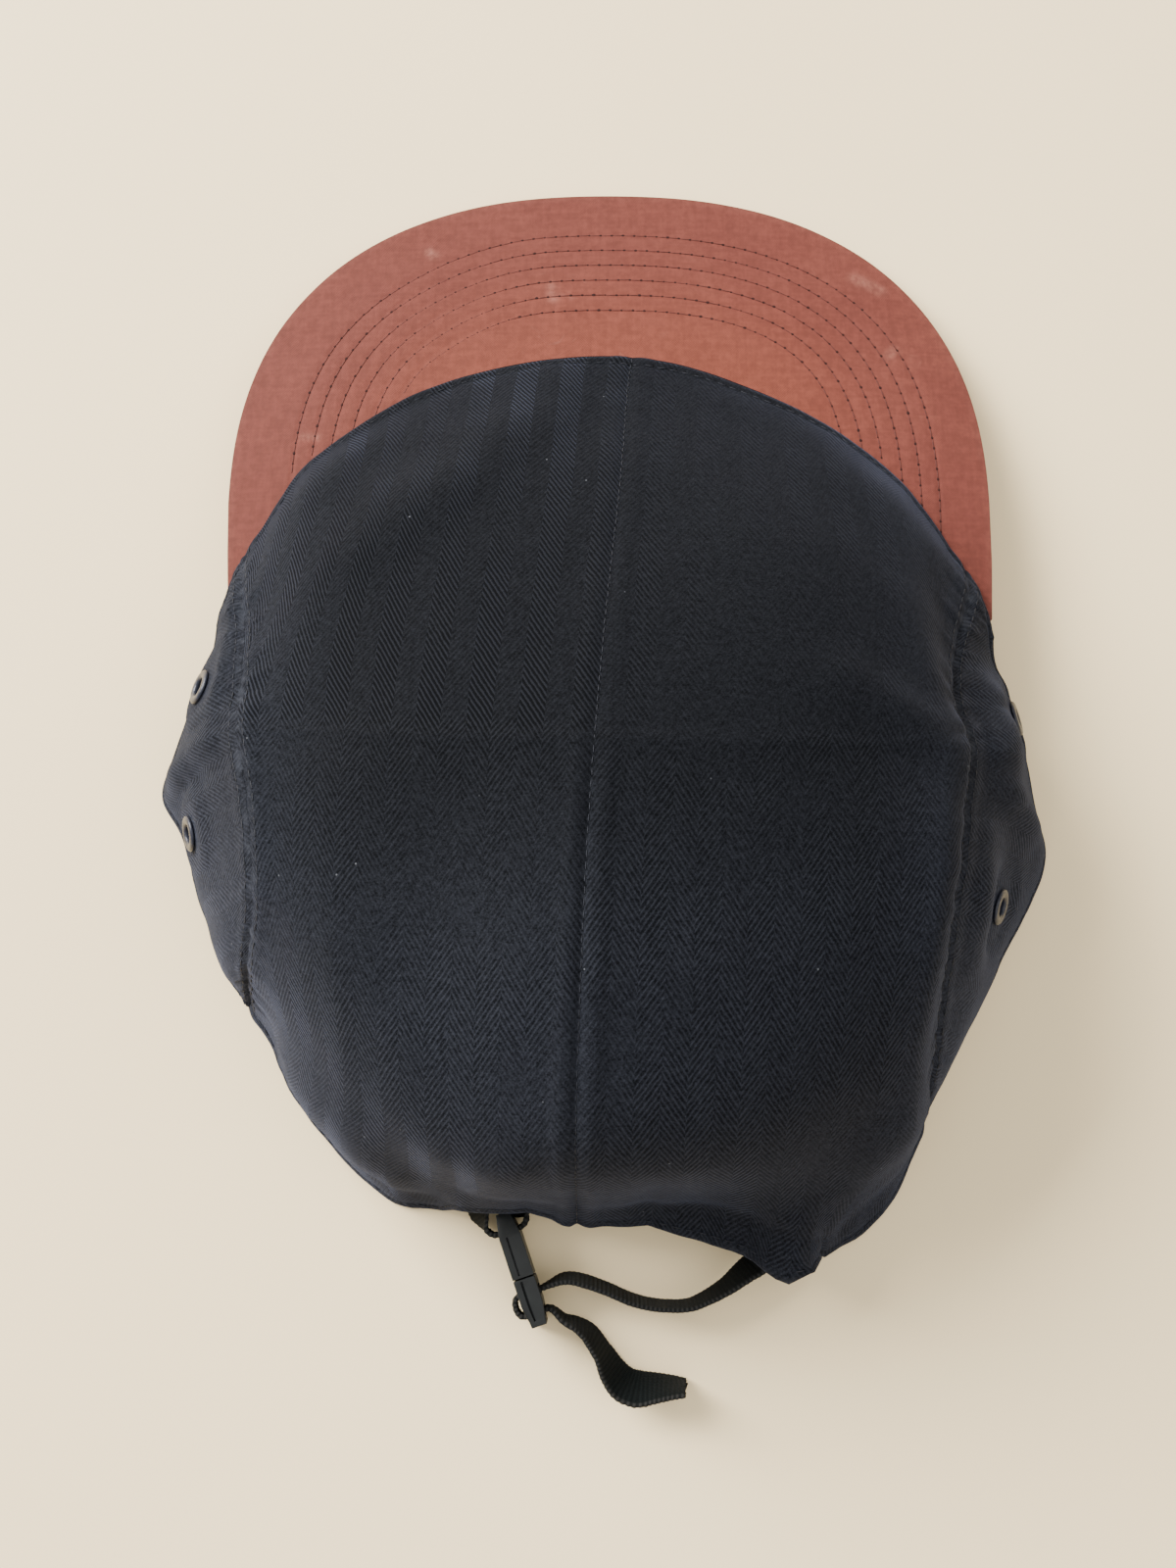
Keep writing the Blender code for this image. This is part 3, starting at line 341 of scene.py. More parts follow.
# The doubled hem, its rounded edge, the dip along its stitches and its puckers
HEM_DEPTH = 0.0030
HEM_PLY = 0.00028
HEM_PLY_EDGE = 0.0012
HEM_ROUND = 0.0004
HEM_ROUND_REACH = 0.0009
HEM_DIP = 0.00022
HEM_DIP_REACH = 0.0006
HEM_PUCKER = 0.00022
HEM_PUCKER_STEP = 0.0052
HEM_PUCKER_REACH = 0.0040
# The back hem's roll and the hollow above it
HEM_ROLL = 0.00085
HEM_ROLL_REACH = 0.0060
HEM_ROLL_STEP = 0.017
HEM_ROLL_EVEN = 0.65
HEM_ROLL_UNEVEN = 0.75
HOLLOW_AT = 0.0125
HOLLOW_REACH = 0.0042
HOLLOW_DRIFT = 0.004
HOLLOW_STEP = 0.022
# Soft waves all over, which are stronger on the side panels
SOFT_WAVE = 0.00045
SOFT_WAVE_SIZE = 0.026
SOFT_WAVE_ON_SIDES = 1.5
# The cloth is calm round an eyelet, and worn near its edges, where a painted highlight on the seam ridges is
# mixed in
CALM_RADIUS = 0.0048
CALM_BLEND = 0.004
WEAR_AND_HIGHLIGHT_REACH = 0.0016
CENTRE_WEAR_AND_HIGHLIGHT_AWAY = 0.0030
CENTRE_WEAR_AND_HIGHLIGHT_NEARER = 0.0016
# Where the back hem swings out or in: place across the cap and shift toward the back, in metres
HEM_SWAY = (
    (-0.0620, 0.0), (-0.0540, 0.0006), (-0.0500, 0.0010), (-0.0482, 0.0013), (-0.0467, -0.0003),
    (-0.0445, 0.0006), (-0.0421, 0.0036), (-0.0380, 0.0008), (-0.0315, -0.0011), (-0.0235, -0.0006),
    (-0.0160, -0.0014), (-0.0092, -0.0026), (-0.0038, -0.0014), (0.0079, 0.0006), (0.0170, -0.0021),
    (0.0287, -0.0004), (0.0365, 0.0014), (0.0430, 0.0016), (0.0560, 0.0),
)


def weights(t):
    """The shares of four points in a smooth curve, between the second and the third of them."""
    return (
        (-t ** 3 + 2 * t ** 2 - t) / 2,
        (3 * t ** 3 - 5 * t ** 2 + 2) / 2,
        (-3 * t ** 3 + 4 * t ** 2 + t) / 2,
        (t ** 3 - t ** 2) / 2,
    )


def along(points, place, corner=None, sharpness=1.0):
    """The smooth curve through the points at a place counted in points, with a corner at one of them."""
    last = len(points) - 1
    start = max(0, min(int(place), last - 1))
    t = place - start
    four = []
    for index in range(start - 1, start + 3):
        near = min(max(index, 0), last)
        point = points[near].copy()
        if index < 0:
            point = 2 * points[0] - points[1]
        if index > last:
            point = 2 * points[last] - points[last - 1]
        if corner is not None and (index - corner) * (start + 0.5 - corner) < 0:
            straight = 2 * points[corner] - points[2 * corner - index]
            point = point.lerp(straight, sharpness)
        four.append(point)
    return sum((w * p for w, p in zip(weights(t), four)), Vector((0, 0, 0)))


def smooth(value):
    value = min(max(value, 0.0), 1.0)
    return value * value * (3 - 2 * value)


def brim_under(x, y):
    """Height of the brim's lower face, which rises from its front edge and droops at its sides."""
    run = max(y - BRIM_FRONT, 0.0)
    across = (x - BRIM_SHIFT) / (BRIM_WIDTH / 2)
    return BRIM_SLOPE * run - BRIM_BOW * run * run - BRIM_DROOP * across * across


def brim_seat(x, y):
    return brim_under(x, y) + BRIM_THICKNESS + PIECE_GAP


def arch(x):
    """Height of the back hem's arch at a place across the cap."""
    share = x / HALF_WIDTH
    left = smooth((ARCH_LEFT - share) / ARCH_CORNER + 0.5)
    right = smooth((share - ARCH_RIGHT) / ARCH_CORNER + 0.5)
    return ARCH_HEIGHT * left * right


def column(table, name):
    """The table's points in that column, in metres."""
    prefix = name + "_" if name else ""
    points = []
    for x, y, z in zip(table[prefix + "x"], table[prefix + "y"], table[prefix + "z"]):
        points.append(Vector((x * HALF_WIDTH, y * HALF_LENGTH, z * HEIGHT)))
    points[0].z = brim_seat(points[0].x, points[0].y)
    if name == "hem":
        points[1].z = max(points[1].z, brim_seat(points[1].x, points[1].y))
    else:
        points[-1].z += arch(points[-1].x)
    return points


CENTRE_LINE = column(CENTRE, "")
LINES = {
    side: {name: column(table, name) for name in ("quarter", "shoulder", "seam", "hem")}
    for side, table in (("left", LEFT), ("right", RIGHT))
}
LAST = len(STEPS)


def section_point(points, row):
    return along(points, row, CREASE, CREASE_SHARPNESS)


def main_row(side, row, places):
    """One row of a main panel, from the centre seam (0) to the side seam (3)."""
    other = "right" if side == "left" else "left"
    five = [section_point(LINES[other]["quarter"], row), section_point(CENTRE_LINE, row)]
    five += [section_point(LINES[side][name], row) for name in ("quarter", "shoulder", "seam")]
    shoulder = len(five) - 2
    past_arch = row - ARCH_SECTION
    low = [spot - Vector((0, 0, arch(spot.x) * past_arch)) for spot in five]
    sharpness = SHOULDER_SHARPNESS * smooth((row - SHOULDER_FROM) / SHOULDER_OVER) * smooth(-past_arch)
    points = []
    for across in places:
        point = along(five, across + 1, shoulder, sharpness)
        if row < 1:
            point.z = max(point.z, brim_seat(point.x, point.y) + row * CLOTH)
        if past_arch > 0:
            point.z = max(along(low, across + 1).z, 0.0) + arch(point.x) * past_arch
        points.append(point)
    return points


def side_row(side, row, places):
    """One row of a side panel, from the side seam (0) down to the hem (1)."""
    seam = LINES[side]["seam"]
    top = section_point(seam, row)
    bottom = along(LINES[side]["hem"], row)
    ahead = section_point(seam, min(row + TIP, LAST)) - section_point(seam, max(row - TIP, 0))
    out = ahead.cross(bottom - top).normalized()
    if out.dot(Vector((top.x, 0, 0))) < 0:
        out = -out
    fullness = SIDE_BULGE * 4 * min((bottom - top).length / (0.5 * HEIGHT), 1.0)
    return [top.lerp(bottom, down) + out * fullness * down * (1 - down) for down in places]


def beside(spot, start, end):
    """The share of the way along a straight line at which a spot lies, and its distance from the line."""
    run = end - start
    here = spot - start
    share = min(max(here.dot(run) / run.length_squared, 0.0), 1.0)
    return share, (here - share * run).length


def fold_height(panel, point):
    lift = 0.0
    for name, x0, y0, x1, y1, width, height in FOLDS:
        if name != panel:
            continue
        start = Vector((x0 * HALF_WIDTH, y0 * HALF_LENGTH))
        end = Vector((x1 * HALF_WIDTH, y1 * HALF_LENGTH))
        share, distance = beside(Vector((point.x, point.y)), start, end)
        away = distance / (width * HALF_WIDTH)
        inner_share = min(max(share, FOLD_END), 1 - FOLD_END)
        ends = FOLD_END_HEIGHT + (1 - FOLD_END_HEIGHT) * math.sin(math.pi * inner_share)
        lift += height * HALF_WIDTH * ends * math.exp(-FOLD_STEEPNESS * away * away)
    return lift


def grid_normals(grid):
    """Normals of a grid of points, turned away from the inside of the crown."""
    rows, columns = len(grid), len(grid[0])
    normals = []
    for i in range(rows):
        line = []
        for j in range(columns):
            down = grid[min(i + 1, rows - 1)][j] - grid[max(i - 1, 0)][j]
            right = grid[i][min(j + 1, columns - 1)] - grid[i][max(j - 1, 0)]
            normal = down.cross(right).normalized()
            line.append(-normal if normal.dot(grid[i][j] - MIDDLE) < 0 else normal)
        normals.append(line)
    return normals


def eased(count, strength):
    """Places from 0 to 1 that crowd together near both ends, where the seams are."""
    steps = [k / count for k in range(count + 1)]
    return [s - strength / (2 * math.pi) * math.sin(2 * math.pi * s) for s in steps]


def row_places():
    """Places of the rows along the sections, which crowd together at both hems."""
    places = [*HEM_ROWS, *(LAST - place for place in HEM_ROWS)]
    for index, count in enumerate(STEPS):
        places += [index + k / (FINER * count) for k in range(FINER * count)]
    room = 1.25 * TIP
    kept = [p for p in sorted(set(places)) if p in HEM_ROWS or p > room]
    return [p for p in kept if p >= LAST - TIP or p < LAST - room]


ROWS = row_places()
SIDE_ROWS = [row for row in ROWS if TIP <= row <= LAST - TIP]
ACROSS = [3 * share for share in eased(MAIN_COLUMNS, MAIN_CROWDING)]
DOWN = eased(SIDE_COLUMNS, SIDE_CROWDING)


def raised(side, kind, grid, rows, places):
    """Lift a panel's plain surface by its folds, which fade toward its seams."""
    normals = grid_normals(grid)
    for i, line in enumerate(grid):
        for j, point in enumerate(line):
            if kind == "main":
                free = smooth(rows[i] / FOLD_FADE_ROWS)
                free *= smooth(FOLD_FADE_ACROSS * min(places[j], 3 - places[j]))
            else:
                free = smooth(min(rows[i] - TIP, LAST - TIP - rows[i]) / SIDE_FOLD_FADE_ROWS)
                free *= smooth(SIDE_FOLD_FADE_DOWN * places[j])
            line[j] = point + normals[i][j] * fold_height(kind + "_" + side, point) * free
            line[j].z = max(line[j].z, 0.0)
    return grid


def eyelet_places():
    found = {}
    for name, side, row, down in EYELETS:
        step = 0.12
        here = side_row(side, row, [down])[0]
        ahead = side_row(side, row + step, [down])[0] - side_row(side, row - step, [down])[0]
        lower, higher = side_row(side, row, [down + step, down - step])
        normal = ahead.cross(lower - higher).normalized()
        if normal.dot(here - MIDDLE) < 0:
            normal = -normal
        found[name] = (side, here + normal * fold_height("side_" + side, here), normal)
    return found


EYELET_PLACES = eyelet_places()


def flattened(side, grid, normals):
    """Make the cloth flat around each eyelet of that side."""
    for at_side, centre, normal in EYELET_PLACES.values():
        if at_side != side:
            continue
        for i, line in enumerate(grid):
            for j, point in enumerate(line):
                height = (point - centre).dot(normal)
                away = (point - centre - height * normal).length
                if abs(height) > 3 * EYELET_HOLE or j == 0 or j == len(line) - 1:
                    continue
                share = 1 - smooth((away - EYELET_WIDTH / 2 - EYELET_MARGIN) / EYELET_BLEND)
                line[j] = point - normal * height * share
                normals[i][j] = normals[i][j].lerp(normal, share).normalized()


def lengths_to(points):
    """The length from the first point of a line to each of its points."""
    sums = [0.0]
    for a, b in zip(points, points[1:]):
        sums.append(sums[-1] + (b - a).length)
    return sums


def turned(grid):
    return [list(line) for line in zip(*grid)]


def lengths_along(grid, zero_row):
    """Length along each column of a grid, counted from one of its rows."""
    columns = [lengths_to(line) for line in turned(grid)]
    return turned([[length - sums[zero_row] for length in sums] for sums in columns])


def bell(distance, reach):
    return math.exp(-(distance / reach) ** 2)


def wander(place, step, *other):
    """Noise from about -1 to 1 along a length. The two other numbers pick one noise out of many."""
    return noise.noise(Vector((place / step, *other)))


def seam_relief(distance, run, groove, pucker):
    """Height of the cloth beside a seam: a groove, the turned edge under it and small puckers."""
    height = -groove * bell(distance, SEAM_GROOVE_REACH)
    height += SEAM_RIDGE * groove / SEAM_GROOVE * bell(distance - SEAM_RIDGE_AT, SEAM_RIDGE_REACH)
    wave = wander(run, SEAM_PUCKER_STEP, 3.1, 0.7)
    wave += 0.6 * wander(run, 0.45 * SEAM_PUCKER_STEP, 8.3, 2.9)
    return height + pucker * wave * bell(distance - SEAM_PUCKER_AT, SEAM_PUCKER_REACH)


def hem_relief(distance, run):
    """The doubled hem: a little thicker up to its stitching, and rounded at its edge."""
    height = HEM_PLY * (1 - smooth((distance - HEM_DEPTH) / HEM_PLY_EDGE + 0.5))
    height -= HEM_DIP * bell(distance - HEM_DEPTH, HEM_DIP_REACH)
    height -= HEM_ROUND * (1 - smooth(distance / HEM_ROUND_REACH))
    wave = wander(run, HEM_PUCKER_STEP, 1.7, 5.2)
    return height + HEM_PUCKER * wave * bell(distance - HEM_DEPTH, HEM_PUCKER_REACH)


def back_roll(point, distance):
    """The loose back hem flares out below a shallow hollow, deeper in some places than in others."""
    strength = HEM_ROLL * (HEM_ROLL_EVEN + HEM_ROLL_UNEVEN * wander(point.x, HEM_ROLL_STEP, 6.1, 0.4))
    drift = HOLLOW_DRIFT * wander(point.x, HOLLOW_STEP, 1.3, 3.3)
    return strength * (bell(distance, HEM_ROLL_REACH) - bell(distance - HOLLOW_AT - drift, HOLLOW_REACH))


def soft_relief(point):
    """Long soft waves with shorter ones on them."""
    wave = noise.noise(point / SOFT_WAVE_SIZE)
    return wave + 0.5 * noise.noise(point / (0.45 * SOFT_WAVE_SIZE) + Vector((4, 1, 7)))


def swayed(grid, rows):
    """Let the back hem wander in and out, as cloth with no stiffening does."""
    places = [place for place, shift in HEM_SWAY]
    for row, line in zip(rows, grid):
        share = smooth((row - SWAY_FROM) / (LAST - SWAY_FROM))
        for point in line:
            if share and places[0] < point.x < places[-1]:
                k = max(n for n, place in enumerate(places[:-1]) if place <= point.x)
                part = (point.x - places[k]) / (places[k + 1] - places[k])
                point.y += share * (HEM_SWAY[k][1] * (1 - part) + HEM_SWAY[k + 1][1] * part)


def crown_grids():
    """The four panels' surfaces before their relief, with normals shared along the seams."""
    made = {}
    for side in LINES:
        main = [main_row(side, row, ACROSS) for row in ROWS]
        made["main_" + side] = raised(side, "main", main, ROWS, ACROSS)
        flank = [side_row(side, row, DOWN) for row in SIDE_ROWS]
        made["side_" + side] = raised(side, "side", flank, SIDE_ROWS, DOWN)
        swayed(made["main_" + side], ROWS)
        swayed(made["side_" + side], SIDE_ROWS)
    normals = {name: grid_normals(grid) for name, grid in made.items()}
    for side in LINES:
        flattened(side, made["side_" + side], normals["side_" + side])
    for i in range(len(ROWS)):
        shared = (normals["main_left"][i][0] + normals["main_right"][i][0]).normalized()
        normals["main_left"][i][0] = normals["main_right"][i][0] = shared
    first = ROWS.index(TIP)
    for side in LINES:
        main, flank = normals["main_" + side], normals["side_" + side]
        for k in range(len(SIDE_ROWS)):
            shared = (main[k + first][-1] + flank[k][0]).normalized()
            main[k + first][-1] = flank[k][0] = shared
    return made, normals


def hem_inner(point, normal):
    """The inner edge of a hem's wall: the cloth's thickness away from the outer one, and level with it."""
    flat = Vector((normal.x, normal.y, 0))
    return point - flat.normalized() * CLOTH / max(flat.length, 0.55)


def on_brim(edge):
    edge.z = max(edge.z, brim_seat(edge.x, edge.y))


def panel_walls(name, grid, normals, rows):
    """Outer and inner faces of a panel with its sewing's relief, and how far each point is from an edge."""
    main = name.startswith("main")
    across = [lengths_to(line) for line in grid]
    run = lengths_along(grid, rows.index(CREASE))
    outer, inner, nearness = [], [], []
    for i, line in enumerate(grid):
        out_line, in_line, near_line = [], [], []
        behind_fold = smooth(run[i][0] / CENTRE_DEEPENS_OVER)
        for j, point in enumerate(line):
            to_first, to_last = across[i][j], across[i][-1] - across[i][j]
            to_front, to_back = run[i][j] - run[0][j], run[-1][j] - run[i][j]
            if main:
                height = seam_relief(to_last, run[i][-1], SEAM_GROOVE, SEAM_PUCKER)
                height += FOLD_RIDGE * bell(run[i][j], FOLD_RIDGE_REACH)
                height += seam_relief(to_first, run[i][0], CENTRE_GROOVE * (1 + behind_fold), CENTRE_PUCKER)
                height += hem_relief(to_back, across[i][j]) + hem_relief(to_front, across[i][j] + 0.3)
                height += back_roll(point, to_back) + SOFT_WAVE * soft_relief(point)
                from_centre = to_first + CENTRE_WEAR_AND_HIGHLIGHT_AWAY - CENTRE_WEAR_AND_HIGHLIGHT_NEARER * behind_fold
                nearest = min(from_centre, to_last, to_back)
            else:
                height = seam_relief(to_first, run[i][0], SEAM_GROOVE, SEAM_PUCKER)
                height += hem_relief(to_last, run[i][j])
                height += SOFT_WAVE * SOFT_WAVE_ON_SIDES * soft_relief(point)
                nearest = min(to_first, to_last)
            for _, centre, _ in EYELET_PLACES.values():
                height *= smooth(((point - centre).length - CALM_RADIUS) / CALM_BLEND)
            out_line.append(point + normals[i][j] * height)
            in_line.append(point - normals[i][j] * CLOTH)
            near_line.append(bell(nearest, WEAR_AND_HIGHLIGHT_REACH))
        outer.append(out_line)
        inner.append(in_line)
        nearness.append(near_line)
    return outer, inner, nearness, across, run


def closed_hems(name, outer, inner, normals, rows):
    """Hold the panel's edges just apart at the seams and stand its hems on the brim or the table."""
    main = name.startswith("main")
    for lines in (outer, inner):
        for line in lines:
            line[0] = line[0] + (line[1] - line[0]).normalized() * SEAM_GAP
            if main:
                line[-1] = line[-1] + (line[-2] - line[-1]).normalized() * SEAM_GAP
    for i, row in enumerate(rows):
        if not main:
            inner[i][-1] = hem_inner(outer[i][-1], normals[i][-1])
        if row < (1 if main else BRIM_END):
            for edge in outer[i] + inner[i]:
                on_brim(edge)
    if main:
        for j in range(len(outer[0])):
            for end in (0, -1):
                inner[end][j] = hem_inner(outer[end][j], normals[end][j])
            on_brim(inner[0][j])
    for line in outer + inner:
        for edge in line:
            edge.z = max(edge.z, TABLE_GAP)


def sewn_panel(name, outer, inner, nearness, across, run, holes):
    """A closed cloth wall. The grid is shaped to the outer face, and its copy to the inner one."""
    rows, columns = len(outer), len(outer[0])
    bm = bmesh.new()
    cell = bm.verts.layers.int.new("cell")
    edge_wear_and_highlight = bm.verts.layers.float.new("edge_wear_and_highlight")
    weave = bm.loops.layers.uv.new("weave")
    bmesh.ops.create_grid(bm, x_segments=columns - 1, y_segments=rows - 1, size=1.0)
    for vert in bm.verts:
        j = round((vert.co.x + 1) / 2 * (columns - 1))
        i = round((vert.co.y + 1) / 2 * (rows - 1))
        vert[cell] = i * columns + j
        vert[edge_wear_and_highlight] = nearness[i][j]
        vert.co = outer[i][j]
    behind = {i * columns + j: inner[i][j] for i in range(rows) for j in range(columns)}
    radius = EYELET_HOLE / 2 + EYELET_BARREL + PIECE_GAP
    for centre, normal in holes:
        inside = [v for v in bm.verts if (v.co - centre).length < 0.78 * radius]
        bmesh.ops.delete(bm, geom=inside, context="VERTS")
        for vert in bm.verts:
            if vert.is_boundary and (vert.co - centre).length < 2.4 * radius:
                spoke = vert.co - centre
                spoke -= normal * spoke.dot(normal)
                vert.co = centre + spoke.normalized() * radius
                behind[vert[cell]] = vert.co - normal * CLOTH
    made = bmesh.ops.extrude_face_region(bm, geom=bm.faces[:])
    for item in made["geom"]:
        if isinstance(item, bmesh.types.BMVert):
            item.co = behind[item[cell]]
    bmesh.ops.recalc_face_normals(bm, faces=bm.faces)
    for face in bm.faces:
        face.smooth = True
        for loop in face.loops:
            i, j = divmod(loop.vert[cell], columns)
            loop[weave].uv = (across[i][j], run[i][j])
    for vert in bm.verts:
        vert.co += PLACE_SHIFT
    panel = object_from(name, bm)
    panel.data.set_sharp_from_angle(angle=math.radians(55))
    return panel


# The cloth itself: a broken twill whose diagonal floats turn at every column, woven of near black and navy
# yarns, brushed a little, with a few pale specks of lint.
TWILL_COLUMN = 0.00535
TWILL_PITCH = 0.00172
TWILL_SLOPE = 1.50
# How much the strokes of the unlit columns are dimmed ahead of the fold, for a painted highlight on the
# others
TWILL_UNLIT_DIMMING = 0.85
TWILL_STRENGTH = 0.58
TWILL_MEAN = 0.42
YARN_STEP = 0.00042
CLOTH_DARK = (0.0014, 0.0016, 0.0021)
CLOTH_LIGHT = (0.0100, 0.0109, 0.0138)
# Worn cloth near the edges, made light enough to paint the highlight on the seam ridges too
CLOTH_WORN_AND_LIT = (0.0320, 0.0350, 0.0440)
# Painted sheen: how much lighter the back half and the sides are made
CLOTH_PAINTED_SHEEN = (2.22, 2.25, 2.38)
SHEEN_COLOUR = (0.56, 0.65, 1.0, 1.0)
LINT_COLOUR = (0.080, 0.085, 0.095)
CLOTH_BUMP = 0.00012


def herringbone_group():
    """Twill on a cloth's own map, with columns along v: its floats, its height, its fuzz, and the columns
    dimmed so that the others show a painted highlight.
    """
    tree = bpy.data.node_groups.new("herringbone", "ShaderNodeTree")
    tree.interface.new_socket("Map", in_out="INPUT", socket_type="NodeSocketVector")
    chart = tree.nodes.new("NodeGroupInput").outputs[0]
    parts = add_node(tree, "SeparateXYZ", {0: chart})
    u, v = parts.outputs[0], parts.outputs[1]
    drift_u = calc(tree, "MULTIPLY_ADD", noise_at(tree, chart, 60.0, 2.0), 0.0007, u)
    to_turn = calc(tree, "PINGPONG", drift_u, TWILL_COLUMN)
    number = calc(tree, "FLOOR", calc(tree, "DIVIDE", drift_u, TWILL_COLUMN))
    climb = calc(tree, "MULTIPLY_ADD", to_turn, TWILL_SLOPE, v)
    phase = calc(tree, "DIVIDE", climb, TWILL_PITCH)
    phase = calc(tree, "MULTIPLY_ADD", number, 0.5, phase)
    phase = calc(tree, "MULTIPLY_ADD", noise_at(tree, chart, 420.0, 2.0), 0.35, phase)
    ridge = calc(tree, "SINE", calc(tree, "MULTIPLY", phase, 2 * math.pi))
    ridge = calc(tree, "POWER", calc(tree, "MULTIPLY_ADD", ridge, 0.5, 0.5), 1.6)
    yarn_u = calc(tree, "SINE", calc(tree, "MULTIPLY", u, 2 * math.pi / YARN_STEP))
    yarn_v = calc(tree, "SINE", calc(tree, "MULTIPLY", v, 2 * math.pi / (1.3 * YARN_STEP)))
    fuzz = noise_at(tree, chart, 2600.0, 3.0)
    height = calc(tree, "MULTIPLY_ADD", calc(tree, "MULTIPLY", yarn_u, yarn_v), 0.10, ridge)
    height = calc(tree, "MULTIPLY_ADD", fuzz, 0.55, height)
    # Ahead of the fold every second column's floats are dimmed, so that only the columns that catch the light
    # show their strokes: a painted highlight
    every_second = calc(tree, "FLOORED_MODULO", number, 2.0)
    ahead = ramp(tree, v, -0.006, 0.0, 1.0, 0.0)
    unlit_columns = calc(tree, "MULTIPLY", calc(tree, "MULTIPLY", every_second, ahead), TWILL_UNLIT_DIMMING)
    out = tree.nodes.new("NodeGroupOutput")
    results = {"Float": ridge, "Height": height, "Fuzz": fuzz, "Unlit": unlit_columns, "Ahead": ahead}
    for name, socket in results.items():
        tree.interface.new_socket(name, in_out="OUTPUT", socket_type="NodeSocketFloat")
        tree.links.new(socket, out.inputs[name])
    return tree


HERRINGBONE = herringbone_group()


def away_from(tree, value, middle, factor, base):
    """A value's difference from its middle, made stronger or weaker and added to another."""
    return calc(tree, "MULTIPLY_ADD", calc(tree, "SUBTRACT", value, middle), factor, base)


def crown_material():
    material, tree, shader, place = new_material(
        "herringbone cotton", 0.92, Specular_IOR_Level=0.05, Sheen_Weight=0.095, Sheen_Roughness=0.38,
        Sheen_Tint=SHEEN_COLOUR)
    chart = add_node(tree, "UVMap", uv_map="weave").outputs[0]
    twill = add_node(tree, "Group", {"Map": chart}, node_tree=HERRINGBONE).outputs
    spot = add_node(tree, "SeparateXYZ", {0: place})
    # The strokes' contrast carries a painted highlight: dimmed on the unlit columns, strongest toward the
    # window
    clear = calc(tree, "SUBTRACT", 1.0, twill["Unlit"])
    clear = calc(tree, "MULTIPLY", clear, ramp(tree, noise_at(tree, place, 38.0, 4.0), 0.34, 0.60, 0.35, 1.0))
    # Painted highlight: the strokes stand out most on the left of the front, which faces the window, and
    # hardly on its right
    window_side_highlight = ramp(tree, spot.outputs[0], -0.030, 0.035, 0.30 - TWILL_STRENGTH, 2.0 - TWILL_STRENGTH)
    clear = calc(
        tree, "MULTIPLY", clear, calc(tree, "MULTIPLY_ADD", twill["Ahead"], window_side_highlight, TWILL_STRENGTH))
    share = away_from(tree, twill["Float"], TWILL_MEAN, clear, TWILL_MEAN)
    share = away_from(tree, twill["Fuzz"], 0.5, 1.4, share)
    share = away_from(tree, noise_at(tree, place, 950.0, 3.0, Roughness=0.7), 0.5, 1.5, share)
    colour = blend_colours(tree, share, CLOTH_DARK, CLOTH_LIGHT)
    # Painted sheen: the back half and the sides are made lighter, where steep cloth catches the low light
    back = ramp(tree, spot.outputs[1], 0.0, 0.095)
    outward = ramp(tree, calc(tree, "ABSOLUTE", spot.outputs[0]), 0.050, 0.092)
    for painted_sheen_share in (back, outward):
        colour = blend_colours(tree, painted_sheen_share, colour, CLOTH_PAINTED_SHEEN, "MULTIPLY")
    # Near the seams and hems the cloth is worn, and the lighter colour there is also a painted highlight
    # along the seam ridges
    rub_and_highlight = ramp(tree, noise_at(tree, place, 420.0, 3.0), 0.42, 0.68, 0.0, 0.55)
    worn = add_node(tree, "Attribute", attribute_name="edge_wear_and_highlight").outputs["Fac"]
    colour = blend_colours(tree, calc(tree, "MULTIPLY", worn, rub_and_highlight), colour, CLOTH_WORN_AND_LIT)
    lint = add_node(tree, "TexVoronoi", {"Vector": place, "Scale": 240.0, "Randomness": 1.0})
    near = ramp(tree, lint.outputs["Distance"], 0.02, 0.070, 1.0, 0.0)
    chance = add_node(tree, "SeparateColor", {0: lint.outputs["Color"]}).outputs[0]
    specks = calc(tree, "MULTIPLY", near, calc(tree, "GREATER_THAN", chance, 0.90))
    colour = blend_colours(tree, specks, colour, LINT_COLOUR)
    height = calc(tree, "MULTIPLY", twill["Height"], calc(tree, "MULTIPLY_ADD", clear, 0.8, 0.2))
    join_surface(tree, shader, colour, height, 1.0, CLOTH_BUMP)
    return material


CROWN_MATERIAL = crown_material()
crown_base, crown_normals = crown_grids()
crown_walls = {}
for panel_name, panel_grid in crown_base.items():
    panel_rows = ROWS if panel_name.startswith("main") else SIDE_ROWS
    kind, side = panel_name.split("_")
    walls = panel_walls(panel_name, panel_grid, crown_normals[panel_name], panel_rows)
    outer, inner, nearness, across, run = walls
    closed_hems(panel_name, outer, inner, crown_normals[panel_name], panel_rows)
    crown_walls[panel_name] = walls
    # The side panels' columns run from the seam down to the hem, and the main panels' from front to back
    chart_u, chart_v = (across, run) if kind == "main" else (run, across)
    if panel_name == "main_right":
        chart_u = [[-u for u in line] for line in chart_u]
    holes = [(spot, normal) for at, spot, normal in EYELET_PLACES.values() if kind == "side" and at == side]
    panel = sewn_panel(f"{side}_{kind}_cloth", outer, inner, nearness, chart_u, chart_v, holes)
    panel.data.materials.append(CROWN_MATERIAL)
    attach(panel, "root")
    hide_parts(f"{kind}_panel_{side}")


